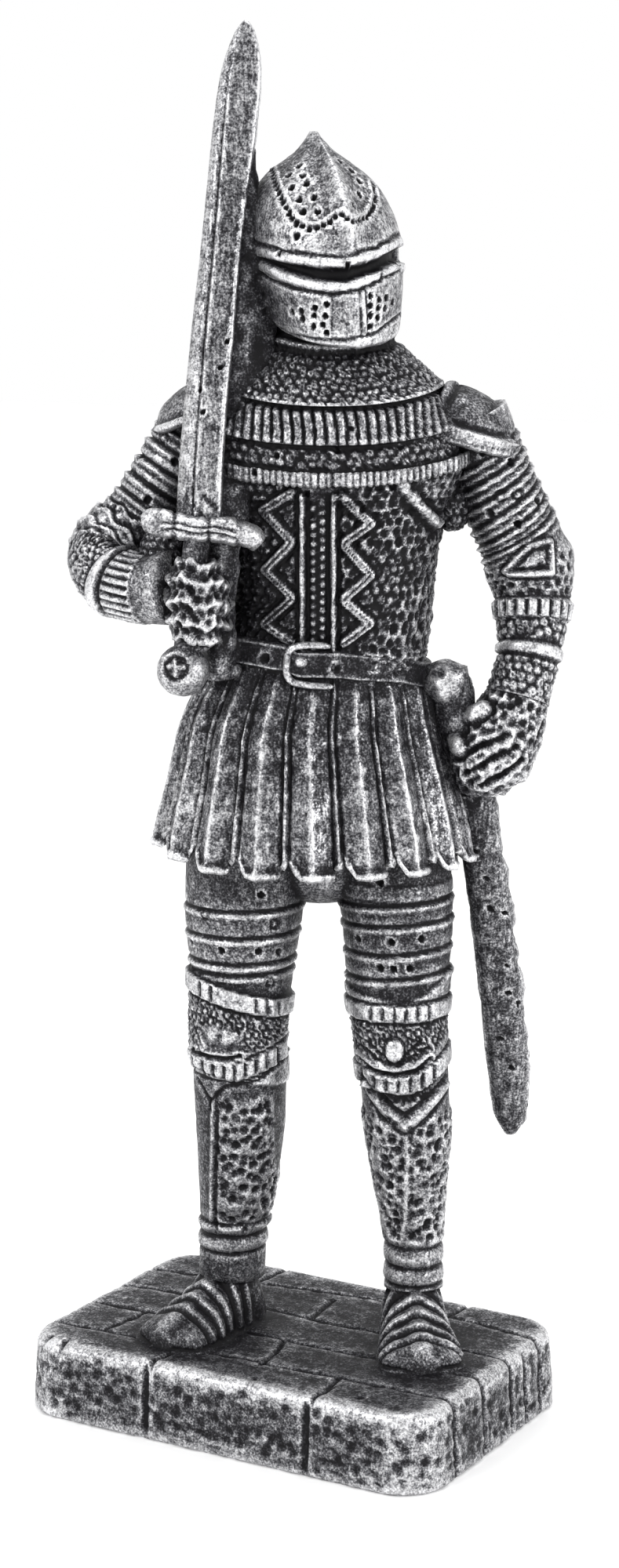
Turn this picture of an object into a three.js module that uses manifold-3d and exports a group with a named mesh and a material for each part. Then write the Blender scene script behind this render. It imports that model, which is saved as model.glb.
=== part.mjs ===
// A cast resin knight standing on a flagstone plinth, with the sword at the right shoulder and the left hand
// on the scabbard. Millimetres, +Z up. The origin is the centre of the plinth's underside, and +X runs along
// its front edge. The knight is one casting with its plinth, so every shape below is joined into one solid.
import * as THREE from "three";
import { mergeVertices } from "three/addons/utils/BufferGeometryUtils.js";
import Module from "manifold-3d";

// Driving dimensions.
const PLINTH = { width: 68, depth: 46, height: 11.6, corner: 6.5, edge: 1.5, draft: 0.6 };
const JOINT = { width: 0.9, depth: 0.7 }; // the open joints between the flagstones
const FIGURE_TURN = Math.PI / 6; // the knight faces right of the plinth's front
const HEAD_TURN = (16 * Math.PI) / 180;
const RIGHT_FOOT_TURN = (-40 * Math.PI) / 180;
const LEFT_FOOT_TURN = (4 * Math.PI) / 180;
const TORSO_TURN = (-6 * Math.PI) / 180;
const PLEATS = 18;
const FIRST_PLEAT = Math.PI / 180; // the first pleat is a little left of the middle
const WAIST = { x: 3.7, y: 0.2, across: 14.9, deep: 10.5 }; // the section under the belt
const BREAST = { x: 5.2, y: 0.2, across: 17, deep: 12.4 }; // the section under the placket
const SLIVER = 0.14; // edges shorter than this, left where shapes cross, are closed up
const FRONT = new THREE.Vector3(0, -1, 0);
const UP = new THREE.Vector3(0, 0, 1);

const wasm = await Module();
wasm.setup();

// The value at t, from 0 to 1, of a smooth curve through evenly spaced numbers.
function through(values, t) {
  const last = values.length - 1;
  const at = Math.min(Math.max(t, 0), 1) * last;
  const i = Math.min(Math.floor(at), last - 1);
  const u = at - i;
  const p = [i - 1, i, i + 1, i + 2].map((k) => values[Math.min(Math.max(k, 0), last)]);
  const a = 2 * p[1];
  const b = p[2] - p[0];
  const c = 2 * p[0] - 5 * p[1] + 4 * p[2] - p[3];
  const d = 3 * p[1] - p[0] - 3 * p[2] + p[3];
  return (a + b * u + c * u * u + d * u * u * u) / 2;
}

// A row of numbers at t of a table whose columns are each a smooth curve.
function rowAt(table, t) {
  return table[0].map((_, column) => through(table.map((row) => row[column]), t));
}

// A power of a sine or cosine that keeps its sign: it squares up or sharpens a round section.
function shaped(value, power) {
  return Math.sign(value) * Math.abs(value) ** (2 / power);
}

// A bump of height one at zero that fades over the given width.
function bump(distance, width) {
  return Math.exp(-((distance / width) ** 2));
}

// The signed difference of two angles, from minus pi to pi.
function angleFrom(angle, middle) {
  return Math.atan2(Math.sin(angle - middle), Math.cos(angle - middle));
}

// A closed skin over rings of points, with a flat fan on the first and the last ring.
function skin(rings) {
  const sides = rings[0].length;
  const points = rings.flat();
  const index = [];
  for (let r = 0; r + 1 < rings.length; r++)
    for (let s = 0; s < sides; s++) {
      const a = r * sides + s;
      const b = r * sides + ((s + 1) % sides);
      index.push(a, b, b + sides, a, b + sides, a + sides);
    }
  for (const [ring, start] of [[rings[0], 0], [rings.at(-1), points.length - sides]]) {
    const middle = ring.reduce((sum, p) => sum.add(p), new THREE.Vector3()).divideScalar(sides);
    points.push(middle);
    for (let s = 0; s < sides; s++) {
      const a = start + s;
      const b = start + ((s + 1) % sides);
      index.push(...(start ? [a, b, points.length - 1] : [b, a, points.length - 1]));
    }
  }
  return new THREE.BufferGeometry().setFromPoints(points).setIndex(index);
}

// A limb: round sections along a line of centres. Each table row holds the centre's x, y, z, the half width,
// the half depth and the section's power. Turn swings the section's front about +Z. Relief(angle, t, z) adds
// to the radius, where angle is 0 to the limb's right and -pi/2 at its front.
function limb(
  table,
  { sides = 16, steps = 10, at, turn = 0, front = FRONT, relief = () => 0, sag = 0 } = {},
) {
  const facing = front.clone().applyAxisAngle(UP, turn);
  const stops = at ?? Array.from({ length: steps + 1 }, (_, i) => i / steps);
  const centre = (t) => new THREE.Vector3(...rowAt(table, t).slice(0, 3));
  const nudge = 0.01;
  const sideAt = (along) => new THREE.Vector3().crossVectors(along, facing).normalize();
  const flip = sideAt(centre(nudge).sub(centre(0))).x < 0 ? -1 : 1;
  const rings = stops.map((t) => {
    const [x, y, z, across, deep, power = 2] = rowAt(table, t);
    const along = centre(Math.min(t + nudge, 1)).sub(centre(Math.max(t - nudge, 0))).normalize();
    const side = sideAt(along).multiplyScalar(flip);
    const out = facing.clone().addScaledVector(along, -facing.dot(along)).normalize();
    return Array.from({ length: sides }, (_, s) => {
      const angle = (s / sides) * 2 * Math.PI;
      const more = relief(angle, t, z);
      const u = shaped(Math.cos(angle), power) * across + Math.cos(angle) * more;
      const v = -shaped(Math.sin(angle), power) * deep - Math.sin(angle) * more;
      return new THREE.Vector3(x, y, z)
        .addScaledVector(side, u)
        .addScaledVector(out, v)
        .addScaledVector(along, -sag * Math.max(v / deep, 0));
    });
  });
  return skin(rings);
}

// The solid of a closed geometry, turned right side out if its faces point in.
function solid(geometry) {
  const bare = geometry.clone();
  for (const name of Object.keys(bare.attributes)) if (name !== "position") bare.deleteAttribute(name);
  const merged = mergeVertices(bare, 1e-4);
  const corners = merged.index.array;
  const kept = [];
  for (let i = 0; i < corners.length; i += 3) {
    const [a, b, c] = corners.slice(i, i + 3);
    if (a !== b && b !== c && c !== a) kept.push(a, b, c);
  }
  const make = (triangles) =>
    new wasm.Manifold(
      new wasm.Mesh({
        numProp: 3,
        vertProperties: new Float32Array(merged.attributes.position.array),
        triVerts: new Uint32Array(triangles),
      }),
    );
  const made = make(kept);
  return made.volume() > 0 ? made : make(kept.reverse());
}

// The geometry of a solid, for a mesh.
function geometryOf(body) {
  const mesh = body.getMesh();
  return new THREE.BufferGeometry()
    .setAttribute("position", new THREE.BufferAttribute(new Float32Array(mesh.vertProperties), 3))
    .setIndex(new THREE.BufferAttribute(new Uint32Array(mesh.triVerts), 1))
    .toNonIndexed();
}

// A box from its middle, its size and its turn about +Z.
function box(middle, size, turn = 0) {
  return new THREE.BoxGeometry(...size).rotateZ(turn).translate(...middle);
}

// The plinth: a slab with round corners, drafted sides and a rounded top edge.
function plinth() {
  const { width, depth, height, corner, edge, draft } = PLINTH;
  const outline = (inset) => {
    const [w, d, r] = [width / 2 - inset, depth / 2 - inset, corner - inset / 2];
    const shape = new THREE.Shape();
    shape.absarc(w - r, d - r, r, 0, Math.PI / 2);
    shape.absarc(r - w, d - r, r, Math.PI / 2, Math.PI);
    shape.absarc(r - w, r - d, r, Math.PI, 1.5 * Math.PI);
    shape.absarc(w - r, r - d, r, 1.5 * Math.PI, 2 * Math.PI);
    return shape.getPoints(4).slice(0, -1);
  };
  const levels = [[0, 0.4], [0.6, 0], [height - edge, draft]];
  for (const turn of [0.35, 0.7, 1])
    levels.push([
      height - edge + edge * Math.sin((turn * Math.PI) / 2),
      draft + edge * (1 - Math.cos((turn * Math.PI) / 2)),
    ]);
  return skin(levels.map(([z, inset]) => outline(inset).map((p) => new THREE.Vector3(p.x, p.y, z))));
}

// The open joints: courses run along X, and cross joints part the stones of a course.
function joints() {
  const { width, depth, height } = PLINTH;
  const out = 2; // how far a cutter stands clear of the stone
  const bite = 0.2; // how far inside the edge the middle of an upright cut lies
  const floor = height - JOINT.depth;
  const cuts = [];
  const groove = (from, to) => {
    const [dx, dy] = [to[0] - from[0], to[1] - from[1]];
    const middle = [(from[0] + to[0]) / 2, (from[1] + to[1]) / 2, floor + out / 2];
    cuts.push(box(middle, [Math.hypot(dx, dy), JOINT.width, out], Math.atan2(dy, dx)));
  };
  const side = (x, y) => cuts.push(box([x, y, height / 2], [JOINT.width, JOINT.width, height + out]));
  const half = { x: width / 2, y: depth / 2 };
  const courses = [
    [[-half.x, -15.2], [0, -14.6], [half.x, -13]],
    [[-half.x, -5.3], [0, -4.5], [half.x, -3.8]],
    [[-half.x, 2.7], [-8, 5.2], [half.x, 4.4]],
    [[-half.x, 11], [-2, 15.6], [half.x, 14]],
  ];
  for (const line of courses) {
    for (let i = 0; i + 1 < line.length; i++) groove(line[i], line[i + 1]);
    side(-half.x + bite, line[0][1]);
    side(half.x - bite, line.at(-1)[1]);
  }
  groove([-10, -half.y], [-10.4, -15]);
  groove([16.4, -half.y], [15.2, -13.8]);
  side(-11.4, -half.y + bite);
  side(15.4, -half.y + bite);
  groove([3.4, -14.4], [1.2, -4.4]);
  groove([0.2, 5], [-1.2, 15.6]);
  groove([-13.6, 13.2], [-15.4, half.y]);
  groove([18.4, 14.8], [17.6, half.y]);
  return cuts;
}

// A thigh, knee and greave in one run. Its lames step out at the thigh, the knee cop swells, and the shin is
// ridged.
function leg(table, turn) {
  const lames = [76.4, 72.4, 68.2, 64.8];
  const bands = [81, 62.8, 61.4, 57, 52.6, 51, 49.8, 43, 34, 26, 24.4, 23];
  const marks = [0, 1];
  const heights = table.map((row) => row[2]);
  const stopAt = (z) => {
    let t = 0;
    while (t < 1 && through(heights, t) > z) t += 0.002;
    return t;
  };
  for (const z of lames) marks.push(stopAt(z + 0.5), stopAt(z));
  for (const z of bands) marks.push(stopAt(z));
  marks.sort((a, b) => a - b);
  const relief = (angle, t, z) => {
    const lame = Math.max(...lames.map((edge) => bump(z - edge, 0.3)));
    const knee = 0.55 * bump(z - 56, 5.5) + 0.3 * (bump(z - 61, 1.6) + bump(z - 51.2, 1.2));
    const shin = z < 50 ? 0.7 * bump(angleFrom(angle, -Math.PI / 2), 0.3) : 0;
    const ankle = 0.35 * bump(z - 24, 1.1);
    return 0.4 * lame + knee + shin + ankle;
  };
  return limb(table, { sides: 12, at: marks, turn, relief, sag: 0.8 });
}

// A pointed sabaton: half round sections from the heel to the toe, sunk into the plinth, with plates across
// it.
function foot(heel, turn, length) {
  const shape = [
    // distance from the heel, half width, height above the plinth
    [0, 1.6, 3],
    [0.12, 3.9, 7.5],
    [0.3, 4.6, 10.5],
    [0.5, 5, 7.4],
    [0.72, 5.9, 4.9],
    [0.92, 5.9, 3.4],
    [1, 3.2, 2.2],
  ];
  const sides = 10;
  const steps = 10;
  const rings = Array.from({ length: steps + 1 }, (_, i) => {
    const [s, wide, high] = rowAt(shape, i / steps);
    const step = 0.22 * (i % 2) * (s > 0.35 && s < 0.95 ? 1 : 0);
    return Array.from({ length: sides }, (_, k) => {
      const angle = (k / sides) * 2 * Math.PI;
      const keel = 0.5 * bump(angleFrom(angle, Math.PI / 2), 0.35);
      return new THREE.Vector3(
        wide * shaped(Math.cos(angle), 2.6),
        -s * length,
        (high + keel + step) * shaped(Math.sin(angle), 2.2),
      );
    });
  });
  return skin(rings).rotateZ(turn).translate(heel[0], heel[1], PLINTH.height - 0.3);
}

// The pleated skirt: flutes of the same number all round, whose rounded ends make a lobed hem.
function skirt() {
  const table = [
    // x, y, z, half width, half depth
    [3.4, 0.4, 112, 14.6, 10],
    [3, 0.3, 107.3, 16.8, 11.8],
    [2.5, 0.2, 102.7, 18.3, 13.2],
    [2.6, 0, 98.2, 19.4, 14.2],
    [2.7, -0.2, 93.6, 20.5, 15.1],
    [2.8, -0.4, 88.6, 21.7, 16],
    [2.9, -0.6, 84.8, 22.4, 16.6],
  ];
  const perPleat = 4;
  const sides = PLEATS * perPleat;
  const hemLift = 2.6; // the hem rides up at the figure's right hip
  const ring = (t, inset, lift) => {
    const [x, y, z, across, deep] = rowAt(table, t);
    return Array.from({ length: sides }, (_, s) => {
      const phase = (s % perPleat) / perPleat;
      const angle = ((s + perPleat / 2) / sides) * 2 * Math.PI + FIRST_PLEAT;
      const round = Math.sqrt(Math.max(0, 1 - (2 * phase - 1) ** 2 * 0.98));
      const out = (0.3 + 0.75 * t) * (round - 0.45) - inset;
      const drop = 2.4 * (0.6 - round) + hemLift * Math.max(0, -Math.sin(angle)) ** 4 + lift;
      return new THREE.Vector3(
        x + (across + out) * Math.sin(angle),
        y - (deep + out) * Math.cos(angle),
        z + (t > 0.7 ? drop : 0),
      );
    });
  };
  const rings = [ring(0, 0.4, 0), ring(0.3, 0, 0), ring(0.65, 0, 0), ring(1, 0, 0)];
  rings.push(ring(1, 1.3, 0.1), ring(0.8, 2.6, 1.5));
  return skin(rings);
}

// The cuirass from the belt to the collar.
function torso() {
  const table = [
    [3.4, 0.4, 108, 14.6, 10, 2.2],
    [4, 0.2, 114, 14.9, 10.6, 2.2],
    [4.9, -0.1, 119, 14.8, 11.4, 2.2],
    [5.2, -0.3, 124, 14.9, 12, 2.2],
    [5.2, -0.3, 129, 15.7, 12.5, 2.2],
    [5.1, -0.2, 134, 17, 12.7, 2.3],
    [5.1, 0, 139, 18.6, 12.5, 2.3],
    [5.2, 0.3, 144, 18.4, 11.8, 2.2],
    [5.3, 0.5, 149, 14.4, 10, 2.1],
    [5.3, 0.4, 154, 9.6, 8.8, 2],
    [5.3, 0.2, 160, 8.4, 8, 2],
  ];
  return limb(table, { sides: 20, steps: 8, turn: TORSO_TURN });
}

// The mail mantle over the shoulders, in two tiers with a band at each hem.
function mantle() {
  const table = [
    // height at the sides, half width, half depth, extra fall at the front
    [161.6, 7.8, 8.8, 1.5],
    [157, 9, 9.8, 1.5],
    [153.8, 12.4, 11.6, 2.2],
    [150.8, 15.7, 13.2, 2.4],
    [150.5, 14.9, 12.7, 2.4],
    [145.6, 18.9, 13.6, 2.6],
    [145.3, 18.3, 13.2, 2.6],
    [142.2, 19.5, 13.8, 2.8],
    [142, 20, 14.4, 2.8],
    [140.3, 20, 14.4, 2.8],
    [140.2, 18.6, 12.6, 2.8],
  ];
  const sides = 22;
  const power = 2.2; // squares the round section a little
  const rings = table.map(([z, across, deep, fall]) =>
    Array.from({ length: sides }, (_, s) => {
      const angle = (s / sides) * 2 * Math.PI;
      return new THREE.Vector3(
        5.2 + across * shaped(Math.cos(angle), power),
        -0.2 + deep * shaped(Math.sin(angle), power),
        z - fall * Math.max(0, -Math.sin(angle)) ** 1.5,
      );
    }),
  );
  return skin(rings);
}

// The placket down the breast: two ridges, with a zigzag strap beside each.
function placket() {
  const [low, high] = [115, 134.6];
  const thick = 2.4;
  const teeth = 3;
  const proud = 0.9; // how far the bars stand out from the breast
  const wide = 1.2;
  const flattening = 22; // radius, in millimetres, of the curve that the zigzags are turned to lie along
  const surface = (x) => BREAST.y - BREAST.deep * Math.sqrt(1 - ((x - BREAST.x) / BREAST.across) ** 2);
  const ridge = (x) => box([x, surface(x) + thick / 2 - proud, (low + high) / 2], [wide, thick, high - low]);
  const zigzag = (inner, reach, breadth) => {
    const pitch = (high - low) / teeth;
    const shape = new THREE.Shape();
    const edge = (shift) =>
      Array.from({ length: 2 * teeth + 1 }, (_, i) => [
        inner + shift + (i % 2 ? reach : 0),
        low + (i * pitch) / 2,
      ]);
    const outline = [...edge(0), ...edge(breadth).reverse()].map(([x, z]) => new THREE.Vector2(x, z));
    shape.setFromPoints(outline);
    const middle = inner + reach / 2;
    return new THREE.ExtrudeGeometry(shape, { depth: thick, bevelEnabled: false, curveSegments: 1 })
      .translate(-middle, 0, 0)
      .rotateX(Math.PI / 2)
      .rotateZ(Math.atan((middle - BREAST.x) / flattening))
      .translate(middle, surface(middle) + thick - proud, 0);
  };
  return [ridge(1.2), ridge(5.4), zigzag(6.8, 3.6, wide), zigzag(-0.4, -3.6, -wide)];
}

// The belt, with its buckle frame left of the middle.
function belt() {
  const sides = 20;
  const slope = 2.3; // it drops towards the scabbard
  const rings = [
    [114.2, -0.3],
    [113.9, 0.9],
    [110.2, 1.1],
    [109.9, -0.3],
  ].map(([z, out]) =>
    Array.from({ length: sides }, (_, s) => {
      const angle = (s / sides) * 2 * Math.PI;
      const x = Math.cos(angle);
      const y = Math.sin(angle);
      return new THREE.Vector3(
        WAIST.x + (WAIST.across + out) * x,
        WAIST.y + (WAIST.deep + out) * y,
        z - slope * x,
      );
    }),
  );
  const buckle = box([2.3, -10.8, 112.4], [6.6, 2.6, 5.7], 0.04);
  return [skin(rings), buckle];
}

// An arm with its plates: rings of lames on the upper arm, a cop at the elbow and a cuff at the wrist.
function arm(table, turn, lames, cops) {
  const relief = (angle, t) => {
    const lame = Math.max(...lames.map((edge) => bump(t - edge, 0.022)));
    const cop = Math.max(...cops.map(([edge, wide, high]) => high * bump(t - edge, wide)));
    return 0.35 * lame + cop;
  };
  const at = [0];
  for (const edge of lames) at.push(edge - 0.03, edge);
  for (const [edge, wide] of cops) {
    at.push(...[-1.6, -0.5, 0.5, 1.6].map((widths) => edge + widths * wide));
  }
  at.push(1);
  at.sort((a, b) => a - b);
  return limb(table, { sides: 10, at, turn, relief });
}

const RIGHT_ARM = [
  // shoulder, upper arm, elbow, forearm and wrist
  [-12, 2.6, 146.4, 5, 5.6],
  [-14.6, 2.8, 142, 5.4, 6],
  [-18, 2.6, 136.6, 5.3, 5.8],
  [-22, 2.2, 131, 5.2, 5.6],
  [-26.4, 0.4, 126.6, 5.3, 5.4],
  [-25, -3.2, 123.6, 4.9, 4.9],
  [-20.8, -6.8, 122.6, 4.7, 4.6],
  [-16.6, -9.6, 123, 5.2, 4.6],
];

const LEFT_ARM = [
  [24.4, 0.8, 146, 5.8, 6.4],
  [27, 1.2, 140, 5.6, 6],
  [29.6, 1.7, 134, 5.7, 6],
  [32.2, 2.2, 128.4, 5.9, 6.1],
  [33.8, 2, 123, 5.9, 6],
  [33.9, 0.9, 117.4, 5.1, 5.5],
  [33.3, -0.8, 112, 4.4, 4.8],
  [31.8, -2.2, 106.5, 4.5, 4.8],
];

// A domed shoulder plate with a turned rim.
function pauldron(middle, radius, lean) {
  const sides = 14;
  const rings = [[0.02, 1], [0.35, 1], [0.65, 1], [0.92, 1], [0.96, 1.08], [1.06, 1.08], [1.08, 0.9]].map(
    ([bow, scale]) =>
      Array.from({ length: sides }, (_, s) => {
        const angle = (s / sides) * 2 * Math.PI;
        const reach = Math.sin((bow * Math.PI) / 2) * scale;
        return new THREE.Vector3(
          radius[0] * reach * Math.cos(angle),
          radius[1] * reach * Math.sin(angle),
          radius[2] * Math.cos((bow * Math.PI) / 2),
        );
      }),
  );
  return skin(rings).rotateY(lean).translate(...middle);
}

// A rounded lump of resin where two shapes meet, from its middle and its three half sizes.
function lump(middle, size, sides = 10) {
  return new THREE.SphereGeometry(1, sides, 6).scale(...size).translate(...middle);
}

// A closed fist of four fingers, one above the other, round an upright grip.
function fist(middle, size) {
  const [x, y, z] = middle;
  const [across, deep, high] = size;
  const table = [-1, -0.92, -0.5, 0, 0.5, 0.92, 1].map((h) => {
    const round = Math.sqrt(Math.max(0.06, 1 - Math.abs(h) ** 2.6));
    return [x, y, z + h * high, across * round, deep * round, 2.4];
  });
  const fingers = 4;
  const relief = (angle, t) => {
    const front = Math.max(0, Math.cos(angleFrom(angle, -Math.PI / 2.4)));
    return 0.45 * front * Math.cos(2 * Math.PI * fingers * t);
  };
  return limb(table, { sides: 10, steps: 12, relief });
}

// The hand that lies over the scabbard's mouth: knuckles outside, fingers curled round it.
function restingHand() {
  const table = [
    [32.4, -1.6, 107.6, 4.3, 4.7, 2],
    [30.6, -2.6, 103.4, 5.4, 5.2, 2.2],
    [28.6, -3, 99.4, 6, 5.4, 2.4],
    [27.4, -3.2, 95.6, 5.4, 4.8, 2.4],
    [27.4, -3.2, 92.8, 3, 3, 2],
  ];
  const relief = (angle, t) => 0.3 * Math.cos(angle * 4) * Math.sin(Math.PI * t);
  return limb(table, { sides: 10, steps: 6, relief });
}

// The blade: a flat section with a fuller down each face, leaning back from the guard to the tip.
function blade() {
  const table = [
    // x, y, z, half width, half thickness, depth of the fuller
    [-12.9, -12.4, 131, 3.1, 1.6, 0.5],
    [-12.5, -11.2, 140, 3.05, 1.6, 0.5],
    [-11.8, -9.9, 149, 2.95, 1.6, 0.5],
    [-10.9, -8.4, 158, 2.95, 1.55, 0.5],
    [-10, -6.9, 167, 2.8, 1.5, 0.5],
    [-9, -5.4, 176, 2.85, 1.5, 0.5],
    [-7.9, -3.8, 185, 3.05, 1.45, 0.45],
    [-7, -2.6, 193, 2.75, 1.3, 0.2],
    [-6.5, -1.9, 198, 1.5, 0.9, 0],
    [-6.4, -1.7, PLINTH.height + 188.4, 0.25, 0.3, 0],
  ];
  const half = [[1, 0.25, 0], [0.72, 1, 0], [0.22, 1, 0]];
  const outline = [...half.map(([u, v, g]) => [-u, v, g]), [0, 1, 1], ...half.toReversed()];
  const section = [...outline, ...outline.map(([u, v, g]) => [-u, -v, g])];
  const steps = 9;
  const rings = Array.from({ length: steps + 1 }, (_, i) => {
    const [x, y, z, wide, thick, groove] = rowAt(table, i / steps);
    return section.map(
      ([u, v, g]) => new THREE.Vector3(x + u * wide, y - v * thick + Math.sign(v) * g * groove, z),
    );
  });
  return skin(rings);
}

// The web of resin behind the blade, which joins it to the helmet, the shoulder and the breast.
function web() {
  const table = [
    [-9.4, -5.6, 109.4, 3.8, 3.2, 2.6],
    [-9.2, -7.2, 122, 3.2, 4, 2.6],
    [-8.8, -6.8, 133, 3.4, 4.8, 2.6],
    [-7.8, -5.4, 144, 3.4, 4.2, 2.6],
    [-6.8, -4.6, 155, 4.4, 4, 2.6],
    [-6.4, -4.4, 166, 3.4, 3.2, 2.6],
    [-6.4, -4.2, 175, 2, 2.4, 2.4],
    [-6.2, -3.6, 182, 1.1, 1.2, 2],
    [-6.4, -3.2, 188, 0.4, 0.5, 2],
  ];
  return limb(table, { sides: 8, steps: 7 });
}

// The crossguard droops at its ends, and the pommel is a thick disc.
function hilt() {
  const guard = [
    [-20.4, -12, 132.2, 1.1, 1.2, 2],
    [-19.2, -12.2, 132.4, 1.9, 1.9, 2],
    [-16, -12.7, 132, 1.6, 1.8, 2],
    [-12.6, -13, 131.6, 1.6, 2, 2],
    [-9, -13, 131.4, 1.6, 1.9, 2],
    [-6, -12.6, 130.6, 1.8, 1.9, 2],
    [-4.7, -12.3, 129.4, 1.3, 1.4, 2],
  ];
  const grip = limb([[-13, -12.2, 131, 1.7, 1.7], [-14.2, -12, 121, 1.7, 1.7], [-15, -11.8, 112, 1.7, 1.7]], {
    sides: 10,
    steps: 3,
  });
  return [limb(guard, { sides: 8, steps: 8 }), lump([-15.2, -11.8, 111.8], [3.6, 3.1, 3.6], 12), grip];
}

// The scabbard hangs from the left hip and trails back, with a rough fin down its outer edge.
function scabbard() {
  const table = [
    [22.8, -3, 111, 2, 2, 2.2],
    [23, -2.6, 105, 3, 2.4, 2.4],
    [25, -1.6, 97, 2.9, 2.3, 2.4],
    [26.6, 0, 87, 2.95, 2.2, 2.4],
    [28.2, 1.8, 77, 3, 2.1, 2.4],
    [29.4, 3.4, 68, 3, 2, 2.4],
    [30.6, 5, 58, 3, 1.9, 2.4],
    [31.6, 6.5, 49, 3, 1.8, 2.3],
    [32.2, 7.5, 42.4, 2.3, 1.5, 2],
    [32.2, 8, 39.2, 0.7, 0.6, 2],
  ];
  const fin = [0.3, 0.45, 0.62, 0.68, 0.86];
  const relief = (angle, t) =>
    0.7 * bump(angleFrom(angle, 0), 0.3) * Math.max(...fin.map((at) => bump(t - at, 0.04)));
  return [limb(table, { sides: 10, steps: 12, relief }), lump([21.8, -2.6, 108.6], [3.4, 3, 2.9])];
}

// The closed helmet: an upright skull drawn up to a point, a keel down its brow, and a slotted visor that
// tips forward, so each level falls towards the front.
function helmet() {
  const profile = [
    // level at the sides, half width, half depth, x and y of the middle, fall towards the front, proudness
    [159.1, 8.3, 10.4, 5.6, -3.2, 0.29, 0],
    [159.1, 8.9, 11, 5.6, -3.2, 0.29, 0.3],
    [160.4, 9.1, 11.4, 5.5, -3.2, 0.29, 0.3],
    [160.6, 9.1, 11.5, 5.5, -3.2, 0.29, 0],
    [166.4, 10.1, 12.3, 4.9, -3, 0.29, 0],
    [166.5, 10.1, 12.3, 4.9, -3, 0.29, 0.5],
    [168.4, 10.3, 12.4, 4.7, -3, 0.28, 0.5],
    [168.5, 10.3, 12.4, 4.7, -3, 0.28, -1],
    [170.3, 10.4, 12.3, 4.5, -3, 0.27, -1],
    [170.4, 10.4, 12.3, 4.5, -3, 0.27, 0.3],
    [172, 10.3, 12.1, 4.4, -2.9, 0.25, 0.3],
    [172.2, 10.3, 12.1, 4.3, -2.9, 0.25, 0],
    [174.4, 9.9, 11.5, 4, -2.6, 0.2, 0],
    [176.8, 8.9, 10.3, 3.7, -2.2, 0.16, 0],
    [178.8, 7.4, 8.6, 3.5, -1.7, 0.12, 0],
    [180.6, 5.2, 6.4, 3.4, -1, 0.08, 0],
    [182.4, 2.6, 3.6, 3.1, -0.2, 0.04, 0],
    [184.2, 1, 1.6, 2.9, 0.3, 0, 0],
    [185.5, 0.35, 0.5, 2.9, 0.4, 0, 0],
  ];
  const sides = 22;
  const brow = 171; // above this level the keel is a comb
  const visorReach = 1.25; // the angle to each side of the front that the visor covers
  const rings = profile.map(([level, across, deep, x, y, fall, proud]) =>
    Array.from({ length: sides }, (_, s) => {
      const angle = (s / sides) * 2 * Math.PI;
      const front = angleFrom(angle, -Math.PI / 2);
      const visor = Math.abs(front) < visorReach ? proud : Math.min(proud, 0.1) * (proud > 0 ? 1 : 0);
      const keel = (level > brow ? 1.4 * bump(level - 179, 5) : 0.35) * bump(front, 0.2);
      const u = (across + visor) * Math.cos(angle);
      const v = (deep + visor) * Math.sin(angle) - keel;
      return new THREE.Vector3(
        x + u * Math.cos(HEAD_TURN) - v * Math.sin(HEAD_TURN),
        y + u * Math.sin(HEAD_TURN) + v * Math.cos(HEAD_TURN),
        level + fall * v,
      );
    }),
  );
  return skin(rings);
}

const RIGHT_LEG = [
  // hip, thigh, knee, calf and ankle
  [-5.6, 0.6, 90, 9, 9.4, 2.1],
  [-6.6, 0.4, 82, 8.7, 9.2, 2.1],
  [-7.2, 0, 74, 8.3, 8.6, 2.1],
  [-7.5, -0.4, 66, 7.3, 7.8, 2.1],
  [-8, -0.6, 58, 6.8, 7.2, 2.1],
  [-7.8, 0.2, 50, 6.6, 7.2, 2.1],
  [-7.8, 1.4, 42, 6.3, 7, 2.1],
  [-8.3, 2.6, 34, 5.6, 6.2, 2.1],
  [-8.9, 3.4, 27, 4.9, 5.3, 2.1],
  [-9.2, 3.8, 19, 4.8, 5.2, 2.1],
];

const LEFT_LEG = [
  [13, 0.6, 90, 9, 9.4, 2.1],
  [14.2, 0.2, 82, 8.5, 9.2, 2.1],
  [15, -0.4, 74, 8, 8.6, 2.1],
  [15, -1.2, 66, 7.4, 7.8, 2.1],
  [15.4, -1.8, 58, 6.6, 7.2, 2.1],
  [16.1, -1.6, 50, 6.4, 7.1, 2.1],
  [16.7, -1.2, 42, 6, 6.7, 2.1],
  [17.1, -1.2, 34, 5, 5.8, 2.1],
  [17.5, -1.6, 27, 4.2, 4.9, 2.1],
  [17.6, -2, 19, 4.3, 4.8, 2.1],
];

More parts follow.
